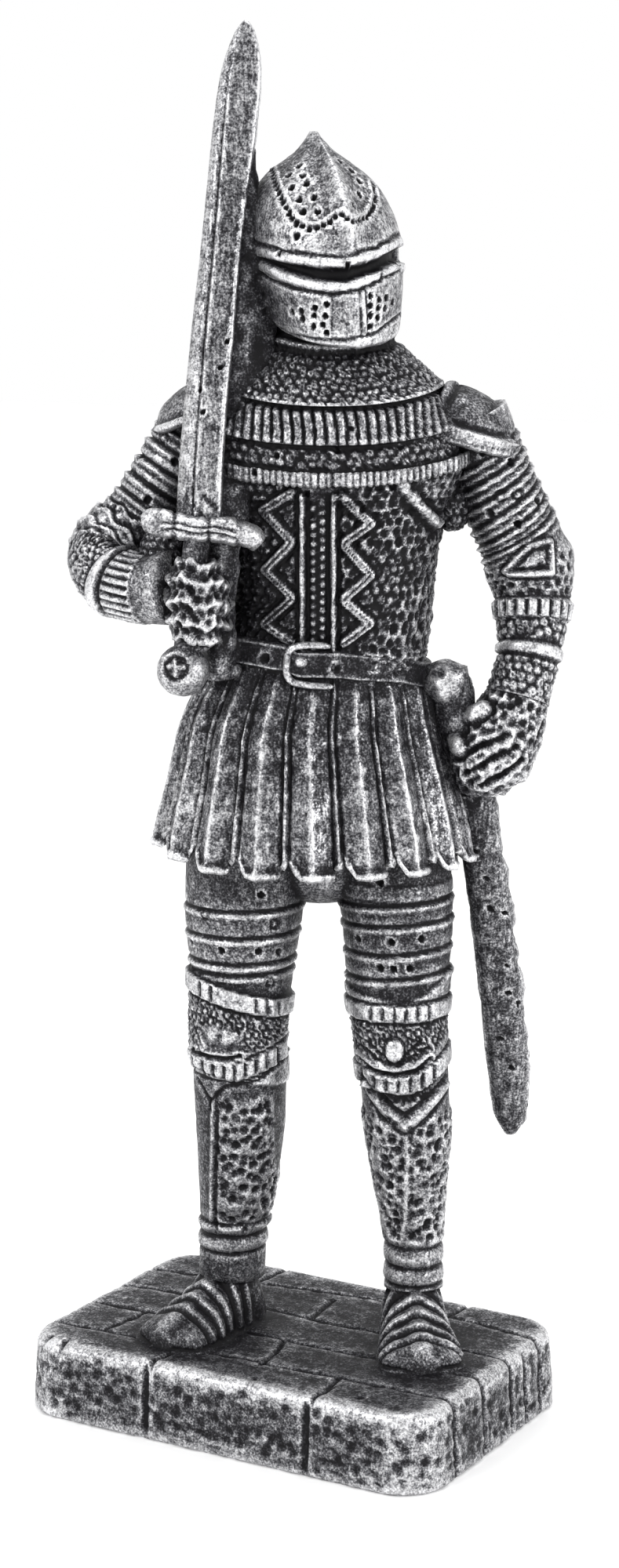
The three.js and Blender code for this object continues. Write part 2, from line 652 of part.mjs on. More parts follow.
function figure() {
  const lames = [0.16, 0.24, 0.32, 0.4];
  return [
    leg(RIGHT_LEG, RIGHT_FOOT_TURN),
    leg(LEFT_LEG, LEFT_FOOT_TURN),
    foot([-5.6, 8.2], RIGHT_FOOT_TURN, 21.5),
    foot([17, 3.6], LEFT_FOOT_TURN, 21.5),
    lump([4, 0.2, 82.6], [9.5, 6.6, 6.4], 12), // the crotch, inside the skirt
    skirt(),
    torso(),
    mantle(),
    ...placket(),
    ...belt(),
    arm(RIGHT_ARM, -0.5, lames, [[0.56, 0.06, 0.4], [0.86, 0.03, 0.4]]),
    arm(LEFT_ARM, 0.3, lames, [[0.56, 0.05, 0.4], [0.72, 0.03, 0.3], [0.9, 0.03, 0.4]]),
    lump([22.6, 0.8, 133.6], [3.4, 5, 4.6]), // under the left arm
    lump([-18.4, -5.6, 127.6], [4.4, 5, 4.4]), // in the bend of the right arm
    lump([22.8, -3.6, 103.4], [2.6, 2.8, 3.6]), // between the scabbard's knob and the hand
    pauldron([-12.6, 1.2, 143.6], [7.4, 7.8, 7.6], -0.3),
    pauldron([23, 0.6, 143.6], [9.2, 8.2, 7.4], 0.26),
    fist([-13, -11.4, 121.4], [4.5, 4.8, 6.9]),
    restingHand(),
    blade(),
    web(),
    ...hilt(),
    ...scabbard(),
    helmet(),
  ];
}

function knightOnPlinth() {
  let body = solid(plinth());
  for (const cut of joints()) body = body.subtract(solid(cut));
  for (const shape of figure()) body = body.add(solid(shape.rotateZ(FIGURE_TURN)));
  return geometryOf(body.simplify(SLIVER));
}

const paint = new THREE.MeshStandardMaterial({ color: 0x8f8f92, roughness: 0.42, metalness: 0.85 });
const knight = new THREE.Mesh(knightOnPlinth(), paint);
knight.name = "knight_on_plinth";

const group = new THREE.Group();
group.add(knight);
export default group;
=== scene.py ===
"""A cast resin knight on a flagstone plinth, sprayed silver and washed black, as sold for fish tanks.

Every shape is a grid of points worked out with numpy in millimetres of the knight's own frame, where +X is
the knight's left, -Y its front and +Z up. The grids are united into one casting, turned onto the plinth and
scaled to metres. The plinth's own frame is the frame of the model.
"""
import math

import bpy
import numpy as np
from mathutils import Matrix, Vector


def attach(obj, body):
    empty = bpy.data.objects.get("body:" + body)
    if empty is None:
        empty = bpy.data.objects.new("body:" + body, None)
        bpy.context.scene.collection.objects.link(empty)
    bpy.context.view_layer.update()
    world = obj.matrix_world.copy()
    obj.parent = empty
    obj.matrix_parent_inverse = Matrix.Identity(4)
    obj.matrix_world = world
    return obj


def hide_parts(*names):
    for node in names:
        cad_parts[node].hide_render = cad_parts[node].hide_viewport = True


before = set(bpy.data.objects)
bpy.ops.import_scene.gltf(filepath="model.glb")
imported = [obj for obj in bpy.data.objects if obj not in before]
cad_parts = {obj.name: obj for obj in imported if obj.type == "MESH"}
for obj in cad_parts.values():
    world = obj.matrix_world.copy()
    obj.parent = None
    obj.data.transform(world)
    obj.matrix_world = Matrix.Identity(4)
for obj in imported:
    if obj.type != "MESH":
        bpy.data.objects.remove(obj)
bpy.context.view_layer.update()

METRES = 0.001  # one millimetre
FIGURE_TURN = math.radians(30)  # the knight faces right of the plinth's front
HEAD_TURN = math.radians(16)
RIGHT_FOOT_TURN = math.radians(-40)
LEFT_FOOT_TURN = math.radians(4)
TORSO_TURN = math.radians(-6)
FRONT = -math.pi / 2  # the angle of a section's front
PLINTH = dict(width=68.0, depth=46.0, height=11.6, corner=6.5, edge=1.5, draft=0.6)
MOST_TRIANGLES = 197000
CUT_PAINT, RAISED_PAINT = 0.22, 0.04  # silver cover lost in deep cuts and gained on raised work
HOLE_WASH = 0.45  # cover lost in a drilled hole
FINE, PLAIN, COARSE = 0.33, 0.48, 0.8  # grid spacing of mail and rivets, of plates, and of what is hidden


# Numbers and curves


def through(table, t):
    """Catmull-Rom curves through evenly spaced rows, one for each column, at each t from 0 to 1."""
    table = np.asarray(table, float)
    last = len(table) - 1
    at = np.clip(t, 0, 1) * last
    i = np.minimum(at.astype(int), last - 1)
    u = (at - i)[:, None]
    before, here, there, after = (table[np.clip(i + k, 0, last)] for k in (-1, 0, 1, 2))
    square = 2 * before - 5 * here + 4 * there - after
    cube = 3 * here - before - 3 * there + after
    return (2 * here + (there - before) * u + square * u**2 + cube * u**3) / 2


def shaped(value, power):
    """A sine or cosine to the power 2 / power with its sign kept, which squares a round section."""
    return np.sign(value) * np.abs(value) ** (2 / power)


def bump(distance, width):
    """One at zero, fading as a bell over the width."""
    return np.exp(-((distance / width) ** 2))


def ramp(value, low, high):
    """Nought below low, one above high, with an S between."""
    t = np.clip((value - low) / (high - low), 0, 1)
    return t * t * (3 - 2 * t)


def within(value, low, high, soft=0.25):
    """One between low and high, fading over the soft width outside them."""
    return ramp(value, low - soft, low) * (1 - ramp(value, high, high + soft))


def turn_from(angle, middle):
    """The signed difference of two angles."""
    return np.arctan2(np.sin(angle - middle), np.cos(angle - middle))


def angles(columns, dense=0.35):
    """Angles once round a section, w - dense * sin w from the front, so that they crowd at the front."""
    w = np.arange(columns) / columns * 2 * math.pi - math.pi
    return FRONT + w - dense * np.sin(w)


# Random but repeatable patterns


def hashed(*cells, seed=0):
    """A number from 0 to 1 for each whole-number cell, by integer mixing."""
    mixed = np.full(cells[0].shape, 2166136261 + 977 * seed, np.uint64)
    mask = np.uint64(0xFFFFFFFF)
    for cell in cells:
        mixed = (mixed ^ cell.astype(np.int64).astype(np.uint64)) * np.uint64(16777619) & mask
        mixed = (mixed ^ (mixed >> np.uint64(13))) * np.uint64(1274126177) & mask
        mixed ^= mixed >> np.uint64(16)
    return mixed.astype(float) / float(0xFFFFFFFF)


def noise(points, pitch, seed=0):
    """Smooth value noise from -1 to 1: hashed corner values of a cubic lattice, blended by S curves."""
    at = points / pitch
    low = np.floor(at)
    f = at - low
    f = f * f * (3 - 2 * f)
    total = 0
    for corner in np.ndindex(2, 2, 2):
        weight = np.prod(np.where(np.array(corner), f, 1 - f), axis=-1)
        cell = low + corner
        total = total + weight * hashed(cell[..., 0], cell[..., 1], cell[..., 2], seed=seed)
    return 2 * total - 1


def nearest_cell(points, pitch, seed=0):
    """The distance in pitches from each point to the nearest of one scattered centre per cube, and a hash."""
    at = points / pitch
    low = np.floor(at)
    best = np.full(points.shape[:-1], 9.0)
    kind = np.zeros(points.shape[:-1])
    for step in np.ndindex(3, 3, 3):
        cell = low + step - 1
        keys = [cell[..., k] for k in range(3)]
        centre = np.stack([hashed(*keys, seed=seed + k) for k in (1, 2, 3)], -1) * 0.8 + 0.1 + cell
        away = np.linalg.norm(at - centre, axis=-1)
        closer = away < best
        best = np.where(closer, away, best)
        kind = np.where(closer, hashed(*keys, seed=seed + 4), kind)
    return best, kind


def rows_of_cells(u, v, pitch, jitter=0.18, seed=0):
    """The distance in pitches to the nearest centre of staggered rows, and a hash: how mail is laid out."""
    rise = 0.87 * pitch
    row = np.floor(v / rise)
    best = np.full(np.shape(u), 9.0)
    kind = np.zeros(np.shape(u))
    for dr in (-1, 0, 1):
        r = row + dr
        shift = 0.5 * np.mod(r, 2)
        column = np.floor(u / pitch - shift)
        for dc in (-1, 0, 1):
            c = column + dc
            du = (c + shift + 0.5 + jitter * (2 * hashed(r, c, seed=seed) - 1)) * pitch - u
            dv = (r + 0.5 + jitter * (2 * hashed(r, c, seed=seed + 1) - 1)) * rise - v
            away = np.hypot(du, dv) / pitch
            closer = away < best
            best = np.where(closer, away, best)
            kind = np.where(closer, hashed(r, c, seed=seed + 2), kind)
    return best, kind


# Reliefs, all heights in millimetres


def mail(u, v, pitch, seed=0, jitter=0.2):
    """Rows of small domes, some with a pit in the middle, with deep gaps between them."""
    away, kind = rows_of_cells(u, v, pitch, jitter, seed)
    dome = 1 - np.clip(away / 0.52, 0, 1) ** 2.2
    pit = 0.75 * bump(away, 0.2) * (kind > 0.45)
    return dome * (0.7 + 0.5 * kind) - pit - 0.55


def rings(u, v, pitch, seed=0, jitter=0.16):
    """A flat skin stamped with small circles: a round groove about a dot."""
    away, kind = rows_of_cells(u, v, pitch, jitter, seed)
    return -1.0 * bump(away - 0.34, 0.13) + 0.15 * bump(away, 0.2) * (kind > 0.2)


def pits(u, v, pitch, seed=0, jitter=0.25):
    """Deep round pits in rows with sharp crests left between them."""
    away, kind = rows_of_cells(u, v, pitch, jitter, seed)
    return -(0.45 + 0.75 * kind) * (1 - np.clip(away / 0.5, 0, 1) ** 2)


def hammered(points, pitch, seed=0):
    """Scattered shallow dents of uneven depth, as a ball hammer or a coarse stone leaves."""
    away, kind = nearest_cell(points, pitch, seed)
    return -(0.25 + 0.95 * kind) * (1 - np.clip(away / 0.6, 0, 1) ** 2)


def lame(drop, rim=0.3, gap=0.45):
    """The edge between two plates: a dark gap with the rolled rim of the lower plate under it."""
    return -gap * bump(drop - 0.22, 0.26) + rim * bump(drop + 0.42, 0.42)


def to_path(points, path):
    """The distance in millimetres from each point to a line of straight stretches."""
    best = np.full(points.shape[:-1], 1e9)
    for start, end in zip(path[:-1], path[1:]):
        run = end - start
        along = np.clip(((points - start) @ run) / max(run @ run, 1e-9), 0, 1)
        best = np.minimum(best, np.linalg.norm(points - start - along[..., None] * run, axis=-1))
    return best


# Skins: grids of points


class Skin:
    """Points in rows along a shape and columns round it, closed by a fan at each end."""

    def __init__(self, points, around):
        self.p = points
        self.around = around
        # tone also carries painted shade: it is lowered on the web and in the crooks of the arms
        self.tone = np.zeros(points.shape[:2])  # more silver, or less, than the relief alone would get
        self.brushed = np.zeros(points.shape[:2])  # how streaky the silver is
        self.front = None

    x = property(lambda self: self.p[..., 0])
    y = property(lambda self: self.p[..., 1])
    z = property(lambda self: self.p[..., 2])

    def normals(self):
        """Unit cross products of the steps round and along the grid, turned to point out."""
        along = np.gradient(self.p, axis=0)
        across = np.roll(self.p, -1, 1) - np.roll(self.p, 1, 1)
        n = np.cross(across, along)
        n /= np.maximum(np.linalg.norm(n, axis=-1, keepdims=True), 1e-9)
        outward = ((self.p - self.p.mean(axis=1, keepdims=True)) * n).sum()
        return n if outward > 0 else -n

    def lengths(self):
        """Millimetres along the skin from its first row, and round it from its front line."""
        down = np.linalg.norm(np.diff(self.p, axis=0), axis=-1).mean(axis=1)
        v = np.concatenate([[0], np.cumsum(down)])[:, None]
        steps = np.linalg.norm(np.roll(self.p, -1, 1) - self.p, axis=-1)
        u = np.cumsum(steps, axis=1) - steps
        girth = steps.sum(axis=1, keepdims=True)
        front = int(np.argmin(np.abs(turn_from(self.around, FRONT))))
        u = np.mod(u - u[:, front : front + 1] + girth / 2, girth) - girth / 2
        return u, v + 0 * u

    def rise(self, height):
        """Moves each point out along its normal by its height; wash stays in what is cut, silver on what stands."""
        height = np.asarray(height) + 0 * self.x
        self.p = self.p + height[..., None] * self.normals()
        self.tone = self.tone + CUT_PAINT * np.tanh(np.minimum(height + 0.2, 0) / 0.4) + RAISED_PAINT * np.tanh(height / 0.3)
        return self

    def place(self, x, z):
        """The point of the skin's front that is seen at x and z."""
        away = np.where(self.facing(), (self.x - x) ** 2 + (self.z - z) ** 2, 1e9)
        weight = np.exp((away.min() - away) / 0.06)
        return np.tensordot(weight, self.p, 2) / weight.sum()

    def facing(self):
        """Where the skin faces the front. It is worked out once, before any relief."""
        if self.front is None:
            self.front = self.normals()[..., 1] < 0.05
        return self.front

    def path(self, points, steps=5):
        """A line drawn on the skin's front through places given as x and z."""
        points = np.asarray(points, float)
        t = np.linspace(0, 1, steps * (len(points) - 1) + 1) * (len(points) - 1)
        fine = np.stack([np.interp(t, range(len(points)), points[:, k]) for k in (0, 1)], -1)
        return np.array([self.place(x, z) for x, z in fine])

    def near(self, places):
        """The distance in millimetres from each point to the nearest of some places, given as x and z."""
        return np.min([np.linalg.norm(self.p - self.place(x, z), axis=-1) for x, z in places], axis=0)

    def holes(self, places, radius=0.5, depth=0.8):
        """Drilled holes with a faint raised lip."""
        away = self.near(places)
        self.tone = self.tone - HOLE_WASH * (1 - ramp(away, 0.6 * radius, 1.2 * radius))
        return -depth * (1 - ramp(away, 0.55 * radius, 1.1 * radius)) + 0.12 * bump(away - 1.5 * radius, 0.3)


def rows_for(length, spacing):
    return max(int(round(length / spacing)), 3)


def limb(table, spacing, turn=0.0, dense=0.35, sag=0.0, girth=None):
    """Round sections carried along a smooth line of centres.

    Each row of the table holds the centre's x, y, z, the half width, the half depth and the section's power.
    A section lies across the line, with its front kept as near as it can be to the way the limb faces.
    """
    table = np.array([list(row) + [2.0] * (6 - len(row)) for row in table], float)
    line = through(table, np.linspace(0, 1, 200))
    length = np.linalg.norm(np.diff(line[:, :3], axis=0), axis=1).sum()
    around = angles(rows_for(girth or 2 * math.pi * line[:, 3:5].mean(), spacing * (1 + 0.5 * dense)), dense)
    t = np.linspace(0, 1, rows_for(length, spacing))
    centre, across, deep, power = np.split(through(table, t), [3, 4, 5], axis=1)
    nudge = 0.01
    along = (through(table, t + nudge) - through(table, t - nudge))[:, :3]
    along /= np.linalg.norm(along, axis=1, keepdims=True)
    facing = np.array([math.sin(turn), -math.cos(turn), 0.0])
    side = np.cross(along, facing)
    side /= np.linalg.norm(side, axis=1, keepdims=True)
    side *= 1 if side[0, 0] > 0 else -1
    out = facing - along * (along @ facing)[:, None]
    out /= np.linalg.norm(out, axis=1, keepdims=True)
    u = shaped(np.cos(around), power) * across
    v = -shaped(np.sin(around), power) * deep
    points = centre[:, None] + side[:, None] * u[..., None] + out[:, None] * v[..., None]
    points = points - along[:, None] * (sag * np.maximum(v / deep, 0))[..., None]
    return Skin(points, around)


def lump(middle, size, spacing=PLAIN, dense=0.0):
    """An ellipsoid: half circles of latitude from pole to pole."""
    around = angles(rows_for(2 * math.pi * max(size[:2]), spacing), dense)
    tilt = np.linspace(0.02, math.pi - 0.02, rows_for(math.pi * max(size), spacing))[:, None]
    unit = np.stack([np.sin(tilt) * np.cos(around), np.sin(tilt) * np.sin(around), np.cos(tilt) + 0 * around], -1)
    return Skin(unit * size + middle, around)


# The plinth


def plinth():
    """A slab of flagstones: a square grid pushed into round corners on top, and drafted sides."""
    width, depth, height, corner, edge, draft = PLINTH.values()
    spacing = 0.5
    w, d = width / 2 - draft - edge, depth / 2 - draft - edge
    r = corner - edge
    x, y = np.meshgrid(np.linspace(-w, w, rows_for(2 * w, spacing)), np.linspace(-d, d, rows_for(2 * d, spacing)))
    over = np.stack([np.abs(x) - (w - r), np.abs(y) - (d - r)])
    most = over.max(axis=0)
    in_corner = (over > 0).all(axis=0)
    pull = np.where(in_corner, most / np.maximum(np.hypot(*over), 1e-9), 1)
    x = np.where(in_corner, np.sign(x) * (w - r + over[0] * pull), x)
    y = np.where(in_corner, np.sign(y) * (d - r + over[1] * pull), y)
    top = np.stack([x, y, np.full_like(x, height)], -1)
    top[..., 2] += flagstones(top)
    rim = np.concatenate([top[0, :-1], top[:-1, -1], top[-1, :0:-1], top[:0:-1, 0]])
    out = rim[:, :2] - np.stack([np.clip(rim[:, 0], r - w, w - r), np.clip(rim[:, 1], r - d, d - r)], -1)
    out /= np.maximum(np.linalg.norm(out, axis=1, keepdims=True), 1e-9)
    lie = np.linspace(0, 1, 6)[1:] * math.pi / 2
    down = np.concatenate([edge * (1 - np.cos(lie)), np.linspace(edge, height - 0.45, 22)[1:], [height]])
    push = np.concatenate([edge * np.sin(lie), np.linspace(edge, edge + draft, 22)[1:], [edge + draft - 0.4]])
    sides = np.empty((len(down), len(rim), 3))
    sides[..., :2] = rim[:, :2] + push[:, None, None] * out
    sides[..., 2] = (rim[:, 2] - height) * np.clip(1 - down / 2, 0, 1)[:, None] + height - down[:, None]
    rough = stone_sides(sides)
    fade = np.clip(down / edge, 0, 1)[:, None] * (down < height - 0.2)[:, None]
    sides[..., :2] += (rough * fade)[..., None] * out
    return top, sides


COURSES = [  # the joints that run along the plinth, as x and y
    [(-34, -15.2), (0, -14.6), (34, -13.0)],
    [(-34, -5.3), (14, -4.5), (34, -4.2)],
    [(-34, 2.7), (-10.9, 5.4), (3.2, 4.7), (34, 4.4)],
    [(-34, 11.0), (-10.8, 14.6), (4.5, 17.0), (34, 14.0)],
]
CROSS_JOINTS = [
    [(-11.8, -23), (-10.2, -19), (-10.0, -14.8)],
    [(15.0, -23), (16.4, -20), (15.5, -13.8)],
    [(3.3, -15.2), (2.6, -9.5), (1.2, -5)],
    [(-0.9, 13.2), (0.2, 5)],
    [(-13.7, 23), (-14.8, 13.6)],
    [(18.2, 23), (17.4, 15.2)],
    [(-24, -14.9), (-22.6, -5.1)],
]
BUBBLES = [(-29.3, -20.6), (-26.4, -20.9), (5.4, -20.3), (21.5, -18.6)]  # pinholes in the casting


def joint_depth(points, joints, width, depth):
    """Grooves with a round floor along joints given as x and y, wavering a little."""
    flat = points.copy()
    flat[..., 2] = 0
    flat[..., 1] += 0.35 * noise(points, 5, 3)
    away = np.min([to_path(flat, np.array([(x, y, 0) for x, y in line], float)) for line in joints], axis=0)
    return -depth * bump(away, width) + 0.08 * bump(away - 0.8, 0.5)


def flagstones(top):
    """Open joints between worn stones, brush marks along X and a few pinholes."""
    relief = joint_depth(top, COURSES, 0.3, 0.7)
    relief = np.minimum(relief, joint_depth(top, CROSS_JOINTS, 0.3, 0.75))
    relief += 0.16 * noise(top, 9, 11) + 0.1 * noise(top * (0.35, 1, 1), 1.6, 12)
    relief += 0.1 * hammered(top, 1.9, 14)
    flat = top[..., :2]
    for x, y in BUBBLES:
        relief -= 0.8 * bump(np.hypot(flat[..., 0] - x, flat[..., 1] - y), 0.4)
    return relief


def stone_sides(sides):
    """Hammered stone with level strokes low down, cut by the upright ends of the joints."""
    relief = 0.34 * hammered(sides, 1.75, 21) + 0.16 + 0.1 * noise(sides, 6, 22)
    low = 1 - ramp(sides[..., 2], 4, 7.5)
    relief += 0.12 * low * noise(sides * (0.3, 0.3, 1.6), 1.0, 23)
    half_w, half_d = PLINTH["width"] / 2 - 2.5, PLINTH["depth"] / 2 - 2.5
    x, y = sides[..., 0], sides[..., 1]
    waver = 0.25 * noise(sides, 4, 24)
    ends = [(x - at + waver, y < -half_d) for at in (-11.7, 15.1)]
    ends += [(x - at + waver, y > half_d) for at in (-13.7, 18.2)]
    for side in (-1, 1):
        places = [line[0 if side < 0 else -1][1] for line in COURSES] + [9.2 * side]
        ends += [(y - at + waver, side * x > half_w) for at in places]
    for away, here in ends:
        relief -= 0.75 * bump(away, 0.36) * here
    return relief


# The legs

RIGHT_LEG = [
    # hip, thigh, knee, calf and ankle: x, y, z, half width, half depth, power
    (-5.6, 0.6, 90, 9, 9.4, 2.1),
    (-6.6, 0.4, 82, 8.7, 9.2, 2.1),
    (-7.2, 0, 74, 8.3, 8.6, 2.1),
    (-7.5, -0.4, 66, 7.3, 7.8, 2.1),
    (-8, -0.6, 58, 6.8, 7.2, 2.1),
    (-7.8, 0.2, 50, 6.6, 7.2, 2.1),
    (-7.8, 1.4, 42, 6.3, 7, 2.1),
    (-8.3, 2.6, 34, 5.6, 6.2, 2.1),
    (-8.9, 3.4, 27, 4.9, 5.3, 2.1),
    (-9.2, 3.8, 19, 4.8, 5.2, 2.1),
]
LEFT_LEG = [
    (13, 0.6, 90, 9, 9.4, 2.1),
    (14.2, 0.2, 82, 8.5, 9.2, 2.1),
    (15, -0.4, 74, 8, 8.6, 2.1),
    (15, -1.2, 66, 7.4, 7.8, 2.1),
    (15.4, -1.8, 58, 6.6, 7.2, 2.1),
    (16.1, -1.6, 50, 6.4, 7.1, 2.1),
    (16.7, -1.2, 42, 6, 6.7, 2.1),
    (17.1, -1.2, 34, 5, 5.8, 2.1),
    (17.5, -1.6, 27, 4.2, 4.9, 2.1),
    (17.6, -2, 19, 4.3, 4.8, 2.1),
]


def thigh_plates(skin, edges, tilt, middle):
    """Overlapping plates: each edge is a level in z at the leg's middle, with a slope across it."""
    level = skin.z - tilt * (skin.x - middle) + 0.12 * noise(skin.p, 5, 31)
    relief = 0
    for edge in edges:
        relief = relief + lame(level - edge)
    return relief


def band(level, low, high, height=0.4):
    """A raised band between two levels, with a dark line above and below it."""
    edges = bump(level - low + 0.3, 0.26) + bump(level - high - 0.3, 0.26)
    return height * within(level, low, high, 0.22) - 0.4 * edges


def ticks(along, pitch, level, low, high, depth=0.5, width=0.2, phase=0.0):
    """Dark upright slots at a pitch, cut across a band."""
    away = np.abs(np.mod(along / pitch + phase, 1) - 0.5) * pitch
    return -depth * bump(away, width) * within(level, low + 0.25, high - 0.25, 0.2)


def right_leg():
    skin = limb(RIGHT_LEG, FINE, RIGHT_FOOT_TURN * 0.5, 0.4, sag=0.4)
    skin.tone -= 0.1 * ramp(-skin.z, -52, -48)
    u, v = skin.lengths()
    x, z = skin.x, skin.z
    knee_top = z + 0.28 * (x + 8.2)  # the knee's bands slope down to the knight's left
    low = z - 0.33 * np.maximum(x + 8.6, 0) + 0.1 * np.minimum(x + 8.6, 0)
    skin.rise(0.45 * within(knee_top, 52, 65.2, 0.6) + 0.3 * bump(z - 24.6, 1.1) + 0.3 * bump(z - 27.4, 0.7))
    relief = thigh_plates(skin, (76.5, 72.6, 68.7, 67.1), 0.0, -7.5) * (knee_top > 65.6)
    relief += band(knee_top, 62.4, 65.0, 0.35) * (z > 50)
    relief += ticks(x, 1.5, knee_top, 62.4, 65.0, phase=0.15) * np.maximum(within(x, -13.9, -10.4), within(x, -6.4, -2.4))
    knee = within(knee_top, 0, 62.0) * ramp(low, 54.9, 55.4)
    relief += 0.42 * rings(u, v, 1.5, 41) * knee * ramp(skin.near([(-11.6, 57.6), (-9.8, 57.4)]), 2.0, 2.9)
    relief += 0.55 * bump(skin.near([(-11.5, 58.6), (-9.4, 58.3)]), 1.0) - 0.3 * bump(skin.near([(-10.5, 58.4)]), 0.35)
    petals = [[(-14.6, 58.6), (-13.0, 56.2)], [(-15.0, 57.4), (-13.6, 55.9)], [(-13.6, 59.0), (-12.6, 56.6)]]
    for petal in petals:
        relief += 0.35 * bump(to_path(skin.p, skin.path(petal)), 0.28)
    slit = skin.path([(-14.6, 55.6), (-12.0, 55.1), (-9.4, 55.1), (-7.6, 55.5)])
    relief += 0.5 * bump(to_path(skin.p, slit) - 0.55, 0.3) - 0.75 * bump(to_path(skin.p, slit), 0.34)
    relief += band(low, 51.6, 54.2, 0.3) * within(z, 50, 60)
    relief += ticks(x, 1.45, low, 51.6, 54.2, depth=0.55, width=0.22, phase=0.3) * within(z, 50, 58)
    for line in ([(-13.9, 51.0), (-12.0, 48.2), (-10.0, 50.6), (-5.0, 51.6), (-1.6, 53.6)], [(-12.0, 48.2), (-11.9, 46.8)]):
        relief -= 0.5 * bump(to_path(skin.p, skin.path(line)), 0.26)
    ridge = -11.8 + 0.2 * np.sin(z / 6)
    shin = ramp(-z, -50, -47.5) * ramp(z, 26.5, 28)
    rough = shin * ramp(x - ridge, 0.3, 0.9) * (1 - ramp(x, -3.6, -2.4) * ramp(z, 34, 38))
    relief += shin * (0.45 * bump(x - ridge, 0.35) - 0.3 * bump(x - ridge - 0.7, 0.3)) * (skin.y < 4)
    relief += 0.85 * rough * (0.5 + hammered(skin.p, 1.35, 43))
    for level in (28.3, 26.2, 23.6):
        relief -= 0.4 * bump(z - level, 0.28)
    relief += skin.holes([(-4.5, 79.2), (-14.5, 71.5), (-10.2, 71.0), (-4.9, 70.9), (-2.1, 70.4)], 0.48)
    rivet = skin.near([(-12.5, 76.0), (-2.7, 74.7), (-3.2, 66.0)])
    relief += 0.3 * bump(rivet, 0.3) - 0.3 * bump(rivet - 0.62, 0.2)
    relief += 0.05 * noise(skin.p, 1.1, 44)
    return skin.rise(relief)


def left_leg():
    skin = limb(LEFT_LEG, FINE, LEFT_FOOT_TURN, 0.4, sag=0.4)
    skin.tone -= 0.04
    u, v = skin.lengths()
    x, z = skin.x, skin.z
    top = z - 0.02 * (x - 15)
    low = z - 0.055 * (x - 15.4) ** 2 * np.where(x > 15.4, 1.4, 0.35)
    skin.rise(0.45 * within(low, 50, 63.4, 0.6) + 0.3 * bump(z - 24.4, 1.2) + 0.25 * bump(z - 21.2, 1.0))
    relief = thigh_plates(skin, (77.4, 74.4, 70.3, 66.7), 0.06, 14.5) * (top > 63.8)
    relief += 0.25 * band(z, 78.4, 80.2, 0.5)
    relief += band(top, 60.8, 63.1, 0.35)
    relief += ticks(x, 1.55, top, 60.8, 63.1, phase=0.2) * within(x, 10.4, 19.6)
    knee = within(top, 0, 60.4) * ramp(low, 54.6, 55.0)
    leaf = skin.near([(14.4, 57.0), (14.4, 56.2)])
    relief += 0.42 * rings(u, v, 1.5, 51) * knee * ramp(leaf, 1.6, 2.2)
    relief += 0.4 * within(leaf, 0, 1.1, 0.3) - 0.4 * bump(leaf - 1.55, 0.25)
    for line in ([(9.6, 56.6), (11.6, 55.2), (13.9, 54.4)], [(10.6, 57.6), (12.4, 55.9), (14.0, 54.6)],
                 [(14.8, 54.4), (17.0, 55.6), (19.4, 57.0)], [(14.8, 54.7), (16.6, 56.6), (18.4, 58.0)]):
        relief -= 0.4 * bump(to_path(skin.p, skin.path(line)), 0.24)
    slit = skin.path([(9.4, 54.6), (11.7, 53.3), (14.4, 53.0), (17.6, 53.7), (19.6, 55.2)])
    relief += 0.35 * bump(to_path(skin.p, slit) - 0.6, 0.3) - 0.7 * bump(to_path(skin.p, slit), 0.3)
    relief += band(low, 50.2, 52.8, 0.3)
    relief += ticks(x, 1.6, low, 50.2, 52.8, depth=0.55, width=0.22, phase=0.1) * within(x, 9.5, 20.5)
    bowl = within(low, 48.6, 49.8, 0.3) * within(x, 12.6, 19.6)
    relief += bowl * (0.6 * mail(u, v, 1.35, 53) - 0.3)
    collar = skin.path([(10.2, 50.6), (13.1, 47.4), (16.0, 45.4), (18.7, 47.4), (22.0, 50.4)])
    relief += 0.55 * bump(to_path(skin.p, collar), 0.7) - 0.45 * bump(to_path(skin.p, collar) - 1.25, 0.3)
    ridge = np.interp(z, (20, 24, 30, 40, 46), (14.9, 15.2, 16.2, 16.4, 16.0))
    shin = ramp(-z, -47.5, -45.2) * ramp(z, 25.4, 27)
    relief += shin * 0.6 * bump(x - ridge, 0.45) * (skin.y < 0)
    rough = shin * (1 - 0.8 * bump(x - ridge, 0.5))
    relief += 0.85 * rough * (0.5 + hammered(skin.p, 1.35, 55))
    for level in (26.0, 22.9, 20.2):
        relief -= 0.42 * bump(z - level, 0.28)
    holes = [(9.2, 72.4), (13.9, 72.4), (18.2, 72.8), (12.4, 68.6), (14.2, 68.5), (16.6, 68.6), (12.3, 81.1)]
    relief += skin.holes(holes, 0.5)
    relief += 0.05 * noise(skin.p, 1.1, 56)
    return skin.rise(relief)


